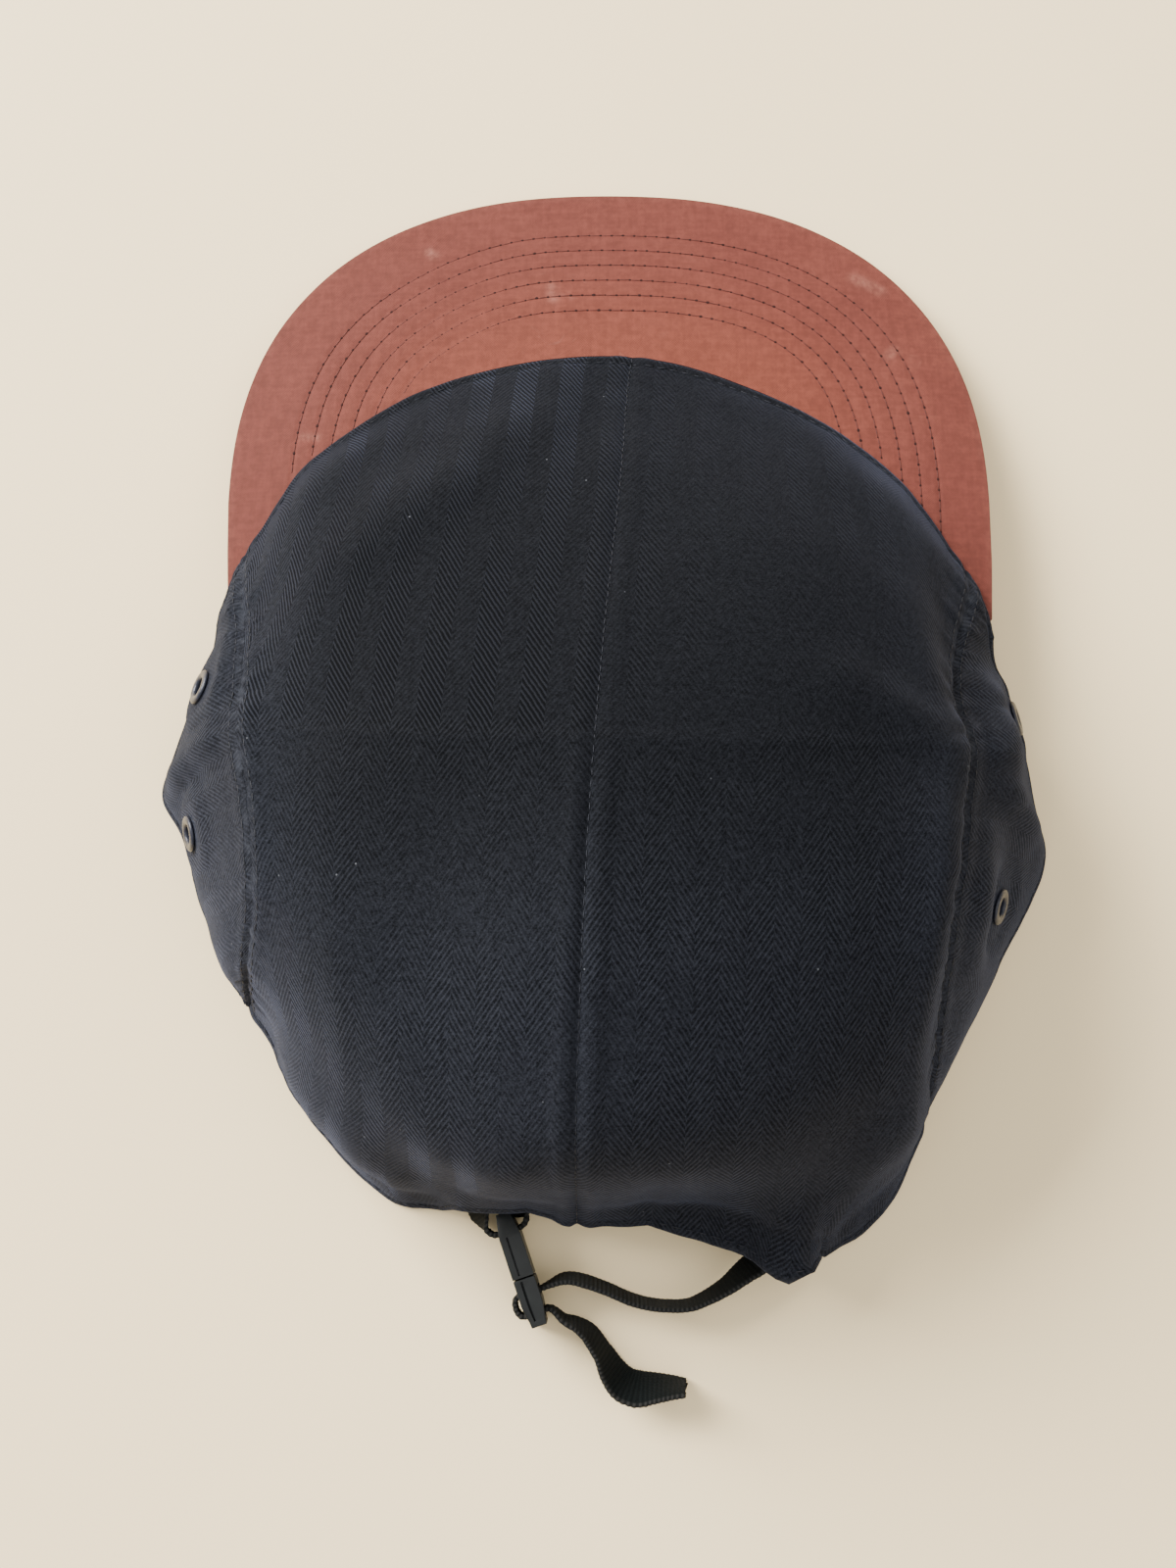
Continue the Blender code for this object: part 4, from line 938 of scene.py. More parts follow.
# Brim: one crescent of stiff core covered above and below with rust waxed cotton. The cloth is turned under
# along the front, and six rows of lockstitch hold core and cloth together. It is sewn inside the front hem.
BRIM_REACH = 0.0815
BRIM_SQUARENESS = 2.42
BRIM_SEAM_DEPTH = 0.0060
BRIM_LEFT_END = ((0.985, -0.365), (0.993, -0.470))
BRIM_RIGHT_END = ((-0.995, -0.450), (-0.985, -0.310))
BRIM_STATIONS = 264
BRIM_ROWS = 72
BRIM_OUTLINE_STEPS = 720
BRIM_OUTLINE_POINTS = 2000
HEM_LINE_STEPS = 36
HEM_LINE_POINTS = 240
BRIM_NOSE = 0.00125
BRIM_WAVE = 0.00014
STITCH_FIRST = 0.0117
STITCH_LEFT_MORE = 0.0027
STITCH_SPACING = 0.00425
STITCH_ROWS = 6
STITCH_STEP = 0.0027
STITCH_THREAD = 0.00015
STITCH_HALF = 0.46 * STITCH_STEP
STITCH_STRAY = 0.00009
STITCH_LIFT = 0.00006
STITCH_SINK = 0.00016
STITCH_SINK_REACH = 0.00042
STITCH_UNDER_HEM = 0.004
STITCH_CLEAR_OF_HEM = 0.0007
NEEDLE_HOLE_SHADE = 0.00033
NEEDLE_HOLE_SHADE_DEPTH = 0.00012
NEEDLE_HOLE_SHADE_LIFT = 0.00008
# A place inside the crown, toward which the front hem and the brim's edge face
BRIM_CENTRE = Vector((0, 0.2 * HALF_LENGTH, 0))
# Scuffs where the wax is rubbed away: start x, y and end x, y in metres, and width in metres
SCUFFS = (
    (0.0127, -0.1150, 0.0122, -0.1118, 0.0012),
    (-0.0599, -0.1189, -0.0657, -0.1159, 0.0014),
    (-0.0683, -0.0993, -0.0668, -0.0975, 0.0010),
    (0.0422, -0.1259, 0.0409, -0.1247, 0.0010),
    (0.0704, -0.0763, 0.0663, -0.0758, 0.0006),
)
WARP_STEP = 0.00058
WEFT_STEP = 0.00046
WAX_BUMP = 0.00012
WAX_COLOUR = (0.131, 0.0375, 0.0278)
WAX_DEEP = (0.117, 0.0325, 0.0245)
WAX_NEAR_CROWN = (0.155, 0.0420, 0.0262)
WAX_RUBBED = (0.270, 0.110, 0.083)
THREAD_COLOUR = (0.078, 0.020, 0.015)
# Painted shade: the dark inside of a needle hole, drawn as a small dark disc
NEEDLE_HOLE_SHADE_COLOUR = (0.022, 0.005, 0.004)


def even_steps(points, count):
    """Even steps along a line: the point before each, the share of the way to the next one, the length."""
    lengths = lengths_to(points)
    index = 0
    for k in range(count + 1):
        goal = lengths[-1] * k / count
        while index < len(points) - 2 and lengths[index + 1] < goal:
            index += 1
        yield index, (goal - lengths[index]) / (lengths[index + 1] - lengths[index]), goal


def resample(points, count):
    """Points at even steps along a line of points."""
    return [points[index].lerp(points[index + 1], part) for index, part, _ in even_steps(points, count)]


def tree_of(points):
    """A search tree, which finds the nearest of the points."""
    tree = kdtree.KDTree(len(points))
    for number, point in enumerate(points):
        tree.insert(point, number)
    tree.balance()
    return tree


def brim_outer_edge():
    """Horn to horn round the front: a squared-off half oval with nearly straight sides behind it."""
    centre_y = BRIM_FRONT + BRIM_REACH
    half = BRIM_WIDTH / 2
    edge = [Vector((half * x + BRIM_SHIFT, y * HALF_LENGTH, 0)) for x, y in BRIM_LEFT_END]
    for k in range(BRIM_OUTLINE_STEPS + 1):
        angle = math.pi * k / BRIM_OUTLINE_STEPS
        x = math.copysign(abs(math.cos(angle)) ** (2 / BRIM_SQUARENESS), math.cos(angle))
        y = math.sin(angle) ** (2 / BRIM_SQUARENESS) if 0 < k < BRIM_OUTLINE_STEPS else 0.0
        edge.append(Vector((half * x + BRIM_SHIFT, centre_y - BRIM_REACH * y, 0)))
    edge += [Vector((half * x + BRIM_SHIFT, y * HALF_LENGTH, 0)) for x, y in BRIM_RIGHT_END]
    return edge


def front_hem_line():
    """The crown's front hem, seen from above, from horn to horn."""
    line = []
    for side in ("left", "right"):
        part = [along(LINES[side]["hem"], row) for row in (1.0, 0.75, 0.5, 0.25)]
        part += main_row(side, 0.0, [3 - 3 * k / HEM_LINE_STEPS for k in range(HEM_LINE_STEPS + 1)])
        line += part if side == "left" else part[::-1][1:]
    return resample([Vector((p.x, p.y, 0)) for p in line], HEM_LINE_POINTS)


def inward_normals(line):
    """At each point of a level line, the direction square to it and toward the inside."""
    normals = []
    for k, point in enumerate(line):
        run = line[min(k + 1, len(line) - 1)] - line[max(k - 1, 0)]
        inward = Vector((run.y, -run.x, 0)).normalized()
        normals.append(-inward if inward.dot(BRIM_CENTRE - point) < 0 else inward)
    return normals


FRONT_HEM = front_hem_line()
FRONT_HEM_TREE = tree_of(FRONT_HEM)
BRIM_INNER = [p + n * BRIM_SEAM_DEPTH for p, n in zip(FRONT_HEM, inward_normals(FRONT_HEM))]
BRIM_OUTER = resample(brim_outer_edge(), BRIM_OUTLINE_POINTS)
BRIM_OUTER_TREE = tree_of(BRIM_OUTER)


def first_row(x):
    """Distance of the first row from the edge, which is wider toward the left horn."""
    return STITCH_FIRST + STITCH_LEFT_MORE * smooth((x - 0.015) / 0.045)


def beside_stitching(x, inside):
    """Depth of the groove that a row of stitches pulls."""
    place = (inside - first_row(x)) / STITCH_SPACING
    nearest = min(max(round(place), 0), STITCH_ROWS - 1)
    away = (place - nearest) * STITCH_SPACING
    return -STITCH_SINK * bell(away, STITCH_SINK_REACH)


def scuffed(x, y):
    """How much the wax is rubbed away at a place, from 0 to 1."""
    spots = (beside(Vector((x, y)), Vector(scuff[:2]), Vector(scuff[2:4]))[1] for scuff in SCUFFS)
    return max(bell(distance, scuff[4]) for distance, scuff in zip(spots, SCUFFS))


def brim_face(x, y, inside, above):
    """Height of the brim's upper or lower face."""
    wave = BRIM_WAVE * noise.noise(Vector((x, y, 0.05 if above else 0.2)) / 0.017)
    relief = beside_stitching(x, inside) + wave
    low = brim_under(x, y)
    return low + BRIM_THICKNESS + relief if above else low - relief


def brim_solid():
    """The crescent: a grid shaped to the upper face, its copy to the lower one, and a rounded rim."""
    outer = resample(BRIM_OUTER, BRIM_STATIONS)
    inner = resample(BRIM_INNER, BRIM_STATIONS)
    bm = bmesh.new()
    scuff = bm.verts.layers.float.new("scuff")
    from_edge = bm.verts.layers.float.new("inside")
    bmesh.ops.create_grid(bm, x_segments=BRIM_STATIONS, y_segments=BRIM_ROWS, size=1.0)
    for vert in bm.verts:
        station = round((vert.co.x + 1) / 2 * BRIM_STATIONS)
        spot = inner[station].lerp(outer[station], (vert.co.y + 1) / 2)
        vert[scuff] = scuffed(spot.x, spot.y)
        vert[from_edge] = BRIM_OUTER_TREE.find(spot)[2]
        vert.co = (spot.x, spot.y, brim_face(spot.x, spot.y, vert[from_edge], True))
    lower = bmesh.ops.extrude_face_region(bm, geom=bm.faces[:])
    for item in lower["geom"]:
        if isinstance(item, bmesh.types.BMVert):
            item.co.z = brim_face(item.co.x, item.co.y, item[from_edge], False)
    bmesh.ops.recalc_face_normals(bm, faces=bm.faces)
    rim = [edge for edge in bm.edges if edge.calc_face_angle(0.0) > math.radians(50)]
    bmesh.ops.bevel(
        bm, geom=rim, offset=BRIM_NOSE, segments=4, profile=0.5, affect="EDGES", material=-1,
        clamp_overlap=True)
    for face in bm.faces:
        face.smooth = True
    for vert in bm.verts:
        vert.co += PLACE_SHIFT
    return object_from("brim_cloth", bm)


def clear_of_crown(spot, margin):
    """Whether a spot lies ahead of the crown's front hem by more than a margin."""
    nearest = FRONT_HEM_TREE.find(spot)[0]
    return (spot - BRIM_CENTRE).length > (nearest - BRIM_CENTRE).length + margin


def row_of_stitches(line, step):
    """Middle and direction of each stitch of a row, at even steps along a line."""
    even = resample(line, round(lengths_to(line)[-1] / step))
    return [((a + b) / 2, (b - a)) for a, b in zip(even, even[1:])]


def bead_shape(around, up):
    """A unit ball of few faces, which each stitch repeats at its own size and turn."""
    ball = bmesh.new()
    bmesh.ops.create_uvsphere(ball, u_segments=around, v_segments=up, radius=1.0)
    shape = bpy.data.meshes.new("bead")
    ball.to_mesh(shape)
    ball.free()
    return shape


def add_bead(bm, shape, spot, run, up, size):
    """A small rounded form: a stitch's thread, or the painted shade of a needle hole."""
    long = run.normalized()
    side = up.cross(long).normalized()
    turn = Matrix((long, side, long.cross(side))).transposed().to_4x4()
    one = shape.copy()
    one.transform(Matrix.Translation(spot + PLACE_SHIFT) @ turn @ Matrix.Diagonal((*size, 1.0)))
    bm.from_mesh(one)
    bpy.data.meshes.remove(one)


def small_piece(name, bm, material):
    """A smooth piece of one material."""
    for face in bm.faces:
        face.smooth = True
    made = object_from(name, bm)
    made.data.materials.append(material)
    return made


def brim_stitching():
    """Threads of the six rows and dark discs of painted shade at their needle holes, on the upper and the
    lower face.
    """
    threads, hole_shades = bmesh.new(), bmesh.new()
    bead = bead_shape(6, 4)
    thread_size = (STITCH_HALF, STITCH_THREAD, STITCH_THREAD)
    edge_normals = inward_normals(BRIM_OUTER)
    for row in range(STITCH_ROWS):
        more = row * STITCH_SPACING
        line = [p + n * (first_row(p.x) + more) for p, n in zip(BRIM_OUTER, edge_normals)]
        line = [p for p in line if clear_of_crown(p, -STITCH_UNDER_HEM)]
        for number, (spot, run) in enumerate(row_of_stitches(line, STITCH_STEP)):
            stray = STITCH_STRAY * noise.noise(Vector((number * 0.7, row * 3.1, 1.0)))
            spot = spot + Vector((-run.y, run.x, 0)).normalized() * stray
            for above in (True, False):
                if above and not clear_of_crown(spot, STITCH_CLEAR_OF_HEM):
                    continue
                up = Vector((0, 0, 1 if above else -1))
                ends = [spot - run / 2, spot + run / 2]
                heights = [brim_face(p.x, p.y, first_row(p.x) + more, above) for p in ends]
                low, high = (Vector((p.x, p.y, h)) for p, h in zip(ends, heights))
                add_bead(threads, bead, (low + high) / 2 + up * STITCH_LIFT, high - low, up, thread_size)
                # A dark disc of painted shade marks each needle hole
                width = NEEDLE_HOLE_SHADE * (1 + 0.5 * noise.noise(Vector((number * 1.3, row * 5.1, 4.0))))
                hole_shade_size = (1.1 * width, 0.9 * width, NEEDLE_HOLE_SHADE_DEPTH)
                add_bead(hole_shades, bead, high + up * NEEDLE_HOLE_SHADE_LIFT, high - low, up, hole_shade_size)
    return threads, hole_shades


def brim_material():
    material, tree, shader, place = new_material("waxed cotton", 0.70, Specular_IOR_Level=0.10)
    inside, scuff = (
        add_node(tree, "Attribute", attribute_name=name).outputs["Fac"] for name in ("inside", "scuff"))
    parts = add_node(tree, "SeparateXYZ", {0: place})
    cloud = noise_at(tree, place, 34.0, 4.0, Roughness=0.6)
    grain = noise_at(tree, place, 520.0, 3.0, Roughness=0.7)
    colour = blend_colours(tree, ramp(tree, cloud, 0.32, 0.70), WAX_DEEP, WAX_COLOUR)
    near_crown = ramp(tree, inside, 0.012, 0.050, 0.0, 0.75)
    colour = blend_colours(tree, near_crown, colour, WAX_NEAR_CROWN)
    # Painted light and shade: the right end is made lighter, and the left end, beside the window, darker
    tones_and_painted_light = [ramp(tree, parts.outputs[0], -0.085, 0.085, 1.09, 0.92)]
    tones_and_painted_light.append(ramp(tree, grain, 0.36, 0.66, 0.90, 1.08))
    # Thicker yarns here and there, along the cloth and across it
    for share in ((0.10, 1.0, 0.0), (1.0, 0.10, 0.0)):
        stretched = add_node(tree, "VectorMath", {0: place, 1: share}, operation="MULTIPLY").outputs[0]
        tones_and_painted_light.append(ramp(tree, noise_at(tree, stretched, 900.0, 2.0), 0.34, 0.66, 0.955, 1.045))
    for tone in tones_and_painted_light:
        colour = blend_colours(tree, 1.0, colour, tone, "MULTIPLY")
    crackle = ramp(tree, noise_at(tree, place, 150.0, 6.0, Distortion=1.6), 0.60, 0.74)
    streaks = ramp(tree, grain, 0.30, 0.66, 0.15, 0.55)
    rubbed = calc(tree, "MULTIPLY", crackle, ramp(tree, cloud, 0.50, 0.75, 0.0, 0.35))
    for worn in (scuff, ramp(tree, inside, 0.0004, 0.0022, 0.12, 0.0)):
        rubbed = calc(tree, "MAXIMUM", rubbed, calc(tree, "MULTIPLY", worn, streaks))
    colour = blend_colours(tree, rubbed, colour, WAX_RUBBED)
    tree.links.new(calc(tree, "MULTIPLY_ADD", cloud, 0.22, 0.56), shader.inputs["Roughness"])
    warp = calc(tree, "SINE", calc(tree, "MULTIPLY", parts.outputs[0], 2 * math.pi / WARP_STEP))
    weft = calc(tree, "SINE", calc(tree, "MULTIPLY", parts.outputs[1], 2 * math.pi / WEFT_STEP))
    height = calc(tree, "MULTIPLY_ADD", calc(tree, "MULTIPLY", warp, weft), 0.22, grain)
    join_surface(tree, shader, colour, height, 0.9, WAX_BUMP)
    return material


def thread_material(name, colour, roughness):
    """A thin twisted sewing thread, or the painted shade of a needle hole."""
    material, tree, shader, place = new_material(name, roughness, Specular_IOR_Level=0.25)
    fibres = noise_at(tree, place, 2400.0, 2.0)
    tone = ramp(tree, fibres, 0.35, 0.65, 0.75, 1.25)
    join_surface(tree, shader, blend_colours(tree, 1.0, colour, tone, "MULTIPLY"), fibres, 0.6, 0.0001)
    return material


brim = brim_solid()
brim.data.materials.append(brim_material())
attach(brim, "root")
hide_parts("brim")
brim_threads, brim_hole_shades = brim_stitching()
brim_pieces = (
    ("brim_stitch_threads", brim_threads, thread_material("brim thread", THREAD_COLOUR, 0.7)),
    ("brim_needle_hole_shades", brim_hole_shades, thread_material("needle hole shade", NEEDLE_HOLE_SHADE_COLOUR, 0.9)),
)
for piece_name, piece_mesh, piece_material in brim_pieces:
    piece = small_piece(piece_name, piece_mesh, piece_material)
    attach(piece, "root")


# Crown sewing: dark navy thread. Two rows of topstitching run along each side seam, one on either side of
# it, one row runs all round the hem, and the centre seam shows only tiny stitches in its groove.
SEAM_ROW_AT = 0.0021
SEAM_ROW_STEP = 0.0026
HEM_ROW_AT = 0.0030
HEM_ROW_STEP = 0.0029
CENTRE_ROW_STEP = 0.0024
SEWING_THREAD = 0.00016
SEWING_STRAY = 0.00015
SEWING_LIFT = 0.00008
SEWING_COLOUR = (0.0150, 0.0165, 0.0225)


def row_beside(points, lengths, distance, from_end):
    """The place on each line of a grid at a distance from its first or last point."""
    row = []
    for line, sums in zip(points, lengths):
        total = abs(sums[-1] - sums[0])
        goal = total - distance if from_end else distance
        if goal <= 0 or goal >= total:
            continue
        k = max(n for n in range(len(sums) - 1) if abs(sums[n] - sums[0]) <= goal)
        span = abs(sums[k + 1] - sums[k])
        row.append(line[k].lerp(line[k + 1], (goal - abs(sums[k] - sums[0])) / span))
    return row


def sew_row(bm, shape, line, step, thread):
    """Stitches lying on the cloth along a line, with a little unevenness."""
    for number, (spot, run) in enumerate(row_of_stitches(line, step)):
        up = (spot - MIDDLE).normalized()
        up = (up - run.normalized() * up.dot(run.normalized())).normalized()
        aside = up.cross(run).normalized()
        stray = noise.noise(Vector((number * 0.83, spot.x * 40, 2.2)))
        spot = spot + aside * SEWING_STRAY * stray + up * SEWING_LIFT
        add_bead(bm, shape, spot, run + aside * 0.12 * stray * step, up, (0.40 * step, thread, 0.8 * thread))


sewing = bmesh.new()
sewing_bead = bead_shape(6, 4)
for panel_name, (outer, _, _, across, run) in crown_walls.items():
    if panel_name.startswith("main"):
        seam_line = row_beside(outer, across, SEAM_ROW_AT, True)[4:-4]
        sew_row(sewing, sewing_bead, seam_line, SEAM_ROW_STEP, SEWING_THREAD)
        for at_back, thread in ((True, SEWING_THREAD), (False, 0.8 * SEWING_THREAD)):
            hem_line = row_beside(turned(outer), turned(run), HEM_ROW_AT, at_back)
            sew_row(sewing, sewing_bead, hem_line, HEM_ROW_STEP, thread)
    else:
        for distance, at_hem, step in ((SEAM_ROW_AT, False, SEAM_ROW_STEP), (HEM_ROW_AT, True, HEM_ROW_STEP)):
            side_line = row_beside(outer, across, distance, at_hem)[2:-2]
            sew_row(sewing, sewing_bead, side_line, step, SEWING_THREAD)
centre_line = [line[0] for line in crown_walls["main_left"][0]]
sew_row(sewing, sewing_bead, centre_line, CENTRE_ROW_STEP, 0.7 * SEWING_THREAD)
crown_sewing = small_piece("crown_sewing", sewing, thread_material("navy thread", SEWING_COLOUR, 0.75))
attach(crown_sewing, "root")


# Eyelets: four small navy-painted metal rings, two in each side panel. Each is rolled over the cloth from
# outside and clinched to a flat washer inside. The paint has worn to bright metal on the crown of the rim.
EYELET_RIM = 0.0008
EYELET_SEGMENTS = 40
RIM_WEAR_REACH = 0.00022
PAINT_COLOUR = (0.013, 0.015, 0.025)
PAINT_WORN_COLOUR = (0.075, 0.080, 0.100)


def eyelet_profile():
    """Radius and height round the section of a ring: the rolled rim, the barrel and the washer inside."""
    hole = EYELET_HOLE / 2
    barrel = hole + EYELET_BARREL
    rim = EYELET_WIDTH / 2
    out, back = PIECE_GAP, -CLOTH - PIECE_GAP
    profile = [(hole, back - 0.35 * EYELET_RIM), (hole, out + 0.15 * EYELET_RIM)]
    for k in range(1, 12):
        angle = math.pi * (1 - k / 12)
        radius = (hole + rim) / 2 + (rim - hole) / 2 * math.cos(angle)
        profile.append((radius, out + 0.15 * EYELET_RIM + 0.85 * EYELET_RIM * math.sin(angle) ** 0.8))
    profile += [(rim, out + 0.12 * EYELET_RIM), (0.985 * rim, out), (barrel, out), (barrel, back)]
    profile += [(0.90 * rim, back), (0.92 * rim, back - 0.15 * EYELET_RIM)]
    profile += [(0.91 * rim, back - 0.50 * EYELET_RIM), (0.88 * rim, back - 0.58 * EYELET_RIM)]
    profile += [(1.12 * hole, back - 0.58 * EYELET_RIM), (1.03 * hole, back - 0.52 * EYELET_RIM)]
    return profile


def eyelet_material():
    material, tree, shader, place = new_material(
        "painted metal", 0.30, Specular_IOR_Level=0.30, Coat_Weight=0.08)
    worn = add_node(tree, "Attribute", attribute_name="rim_wear").outputs["Fac"]
    chips = noise_at(tree, place, 1500.0, 4.0)
    bare = calc(tree, "MULTIPLY", worn, ramp(tree, chips, 0.50, 0.60))
    join_surface(tree, shader, blend_colours(tree, bare, PAINT_COLOUR, PAINT_WORN_COLOUR))
    tree.links.new(bare, shader.inputs["Metallic"])
    tree.links.new(calc(tree, "MULTIPLY_ADD", chips, 0.25, 0.26), shader.inputs["Roughness"])
    return material


PAINTED_METAL = eyelet_material()
for eyelet_name, (_, eyelet_centre, eyelet_normal) in EYELET_PLACES.items():
    ring = bmesh.new()
    rim_wear = ring.verts.layers.float.new("rim_wear")
    section = [ring.verts.new((radius, 0.0, height)) for radius, height in eyelet_profile()]
    top = max(vert.co.z for vert in section)
    for vert in section:
        vert[rim_wear] = bell(vert.co.z - top, RIM_WEAR_REACH)
    edges = [ring.edges.new((a, b)) for a, b in zip(section, section[1:] + section[:1])]
    bmesh.ops.spin(
        ring, geom=section + edges, cent=(0, 0, 0), axis=(0, 0, 1), angle=2 * math.pi,
        steps=EYELET_SEGMENTS, use_merge=True)
    bmesh.ops.remove_doubles(ring, verts=ring.verts, dist=0.00001)
    bmesh.ops.recalc_face_normals(ring, faces=ring.faces)
    seat = eyelet_normal.to_track_quat("Z", "Y").to_matrix().to_4x4()
    bmesh.ops.transform(ring, matrix=Matrix.Translation(eyelet_centre + PLACE_SHIFT) @ seat, verts=ring.verts)
    eyelet = small_piece(eyelet_name + "_ring", ring, PAINTED_METAL)
    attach(eyelet, "root")
    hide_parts(eyelet_name)


# Strap and strap loop: black ribbed cotton webbing, 10 mm wide, standing on its edge. The short doubled loop
# holds the buckle's socket. The long strap goes twice through the plug and ends in a cut, fraying tail.
WEB_WIDTH = 0.0100
WEB_THICKNESS = 0.0013
WEB_CLEARANCE = 0.0006
TAIL_LENGTH = 0.0330
BUCKLE_X = 0.226
BUCKLE_Y = 1.003
BUCKLE_TURN = 18.9
BUCKLE_LENGTH = 0.0252
BUCKLE_THICKNESS = 0.0048
BUCKLE_RAIL = 0.0016
SLOT_CLEARANCE = 0.0004
SOCKET_SHARE = 0.57
SOCKET_END_BAR = 0.00315
PLUG_END_BAR = 0.0016
PLUG_MIDDLE_BAR = 0.0025
# The band's own mesh and weave, in metres: its ribs, the notches of its edges, its yarns and its selvage
WEB_STEP = 0.00016
WEB_FINER = 12
WEB_AROUND = 36
RIB_STEP = 0.00098
RIB_HEIGHT = 0.00013
EDGE_NOTCH = 0.00016
WEB_FUZZ = 0.00005
EDGE_FUZZ = 0.00007
WEB_YARN_STEP = 0.00048
WEB_BUMP = 0.00014
SELVAGE_WIDTH = 0.0008
SELVAGE_BINDING = 0.0003
TAIL_RAGGED = 0.0009
TAIL_FIBRES = 46
FIBRE_SHORTEST = 0.00055
FIBRE_LONGER = 0.00075
FIBRE_THICKNESS = 0.00006
FIBRE_ROOT = 0.0003
WEB_DARK = (0.0020, 0.0030, 0.0031)
WEB_RIDGE = (0.0052, 0.0072, 0.0072)
# Painted highlight: the band's edges, whose upper one faces the light, in a much lighter colour
WEB_EDGE_HIGHLIGHT = (0.0230, 0.0224, 0.0214)
# Paths of the webbing's middle line: x, y and height in shares, and the lean of its face in degrees
LOOP_ON_CROWN = (
    (0.460, 0.896, 0.62, -20), (0.400, 0.921, 0.62, -20), (0.345, 0.936, 0.62, -20),
    (0.292, 0.972, 0.64, -36),
)
LOOP_TO_BUCKLE = ((0.252, -0.129, 0.68, -24),)
LOOP_FROM_BUCKLE = ((-0.105, -0.202, 0.68, 34), (-0.017, -0.265, 0.66, 38))
LOOP_RETURN = (
    (0.246, 0.953, 0.64, 38), (0.295, 0.932, 0.62, 20), (0.345, 0.915, 0.62, 20),
    (0.400, 0.900, 0.62, 20), (0.460, 0.875, 0.62, 20),
)
STRAP_ON_CROWN = (
    (-0.520, 0.962, 0.62, -16), (-0.465, 0.993, 0.62, -14), (-0.410, 1.014, 0.60, -16),
    (-0.370, 1.052, 0.60, -22), (-0.335, 1.105, 0.60, -30), (-0.303, 1.130, 0.62, -24),
    (-0.264, 1.160, 0.62, -16), (-0.217, 1.187, 0.60, -11), (-0.174, 1.202, 0.60, -9),
    (-0.110, 1.201, 0.60, -9), (-0.056, 1.189, 0.62, -10), (-0.003, 1.167, 0.66, -10),
)
STRAP_TO_BUCKLE = ((-0.464, -0.096, 0.69, -11), (-0.302, -0.115, 0.70, -9))
TAIL = (
    (-0.185, 0.042, 0.70, 6), (-0.270, 0.082, 0.66, 13), (-0.355, 0.145, 0.60, 20),
    (-0.433, 0.255, 0.54, 22), (-0.500, 0.376, 0.46, 34), (-0.573, 0.461, 0.41, 44),
    (-0.670, 0.495, 0.43, 46), (-0.779, 0.490, 0.47, 34), (-0.888, 0.485, 0.50, 24),
    (-0.982, 0.486, 0.52, 16),
)

SLOT_WIDTH = WEB_THICKNESS + 2 * SLOT_CLEARANCE
BUCKLE_WIDTH = WEB_WIDTH + 2 * SLOT_CLEARANCE + 2 * BUCKLE_RAIL
SOCKET_LENGTH = SOCKET_SHARE * BUCKLE_LENGTH
SOCKET_SLOT = SOCKET_END_BAR + SLOT_WIDTH / 2
PLUG_START = SOCKET_LENGTH + PIECE_GAP
PLUG_SLOT_OUT = BUCKLE_LENGTH - PLUG_END_BAR - SLOT_WIDTH / 2
PLUG_SLOT_IN = PLUG_SLOT_OUT - SLOT_WIDTH - PLUG_MIDDLE_BAR
OVER_BAR = BUCKLE_THICKNESS / 2 + WEB_THICKNESS / 2 + WEB_CLEARANCE


def buckle_place(length, out, height=0.0):
    """A place on the buckle: along it from the hem end, out of its left face, up from its middle."""
    turn = math.radians(BUCKLE_TURN)
    ahead = Vector((-math.sin(turn), math.cos(turn), 0))
    face = Vector((math.cos(turn), math.sin(turn), 0))
    base = Vector((BUCKLE_X * HALF_WIDTH, BUCKLE_Y * HALF_LENGTH, BUCKLE_WIDTH / 2))
    return base + ahead * length + face * out + Vector((0, 0, height))


def on_crown(rows):
    return [Vector((x * HALF_WIDTH, y * HALF_LENGTH, z * WEB_WIDTH)) for x, y, z, lean in rows]


def from_slot(rows, slot, size):
    start = buckle_place(slot, 0)
    return [Vector((start.x + x * size, start.y + y * size, z * WEB_WIDTH)) for x, y, z, lean in rows]


def leans(*tables):
    return [row[3] for table in tables for row in table]


def loop_path():
    turn = (
        (SOCKET_SLOT - 1.4 * WEB_THICKNESS, OVER_BAR + 0.7 * WEB_THICKNESS),
        (SOCKET_SLOT - 0.3 * WEB_THICKNESS, OVER_BAR - 0.1 * WEB_THICKNESS),
        (SOCKET_SLOT, 0.6 * OVER_BAR), (SOCKET_SLOT, 0.2 * OVER_BAR),
    )
    around = [buckle_place(length, out) for length, out in turn]
    around += [buckle_place(length, -out) for length, out in reversed(turn)]
    path = on_crown(LOOP_ON_CROWN) + from_slot(LOOP_TO_BUCKLE, SOCKET_SLOT, BUCKLE_LENGTH) + around
    path += from_slot(LOOP_FROM_BUCKLE, SOCKET_SLOT, BUCKLE_LENGTH) + on_crown(LOOP_RETURN)
    lean = leans(LOOP_ON_CROWN, LOOP_TO_BUCKLE) + [0] * len(around)
    return path, lean + leans(LOOP_FROM_BUCKLE, LOOP_RETURN)


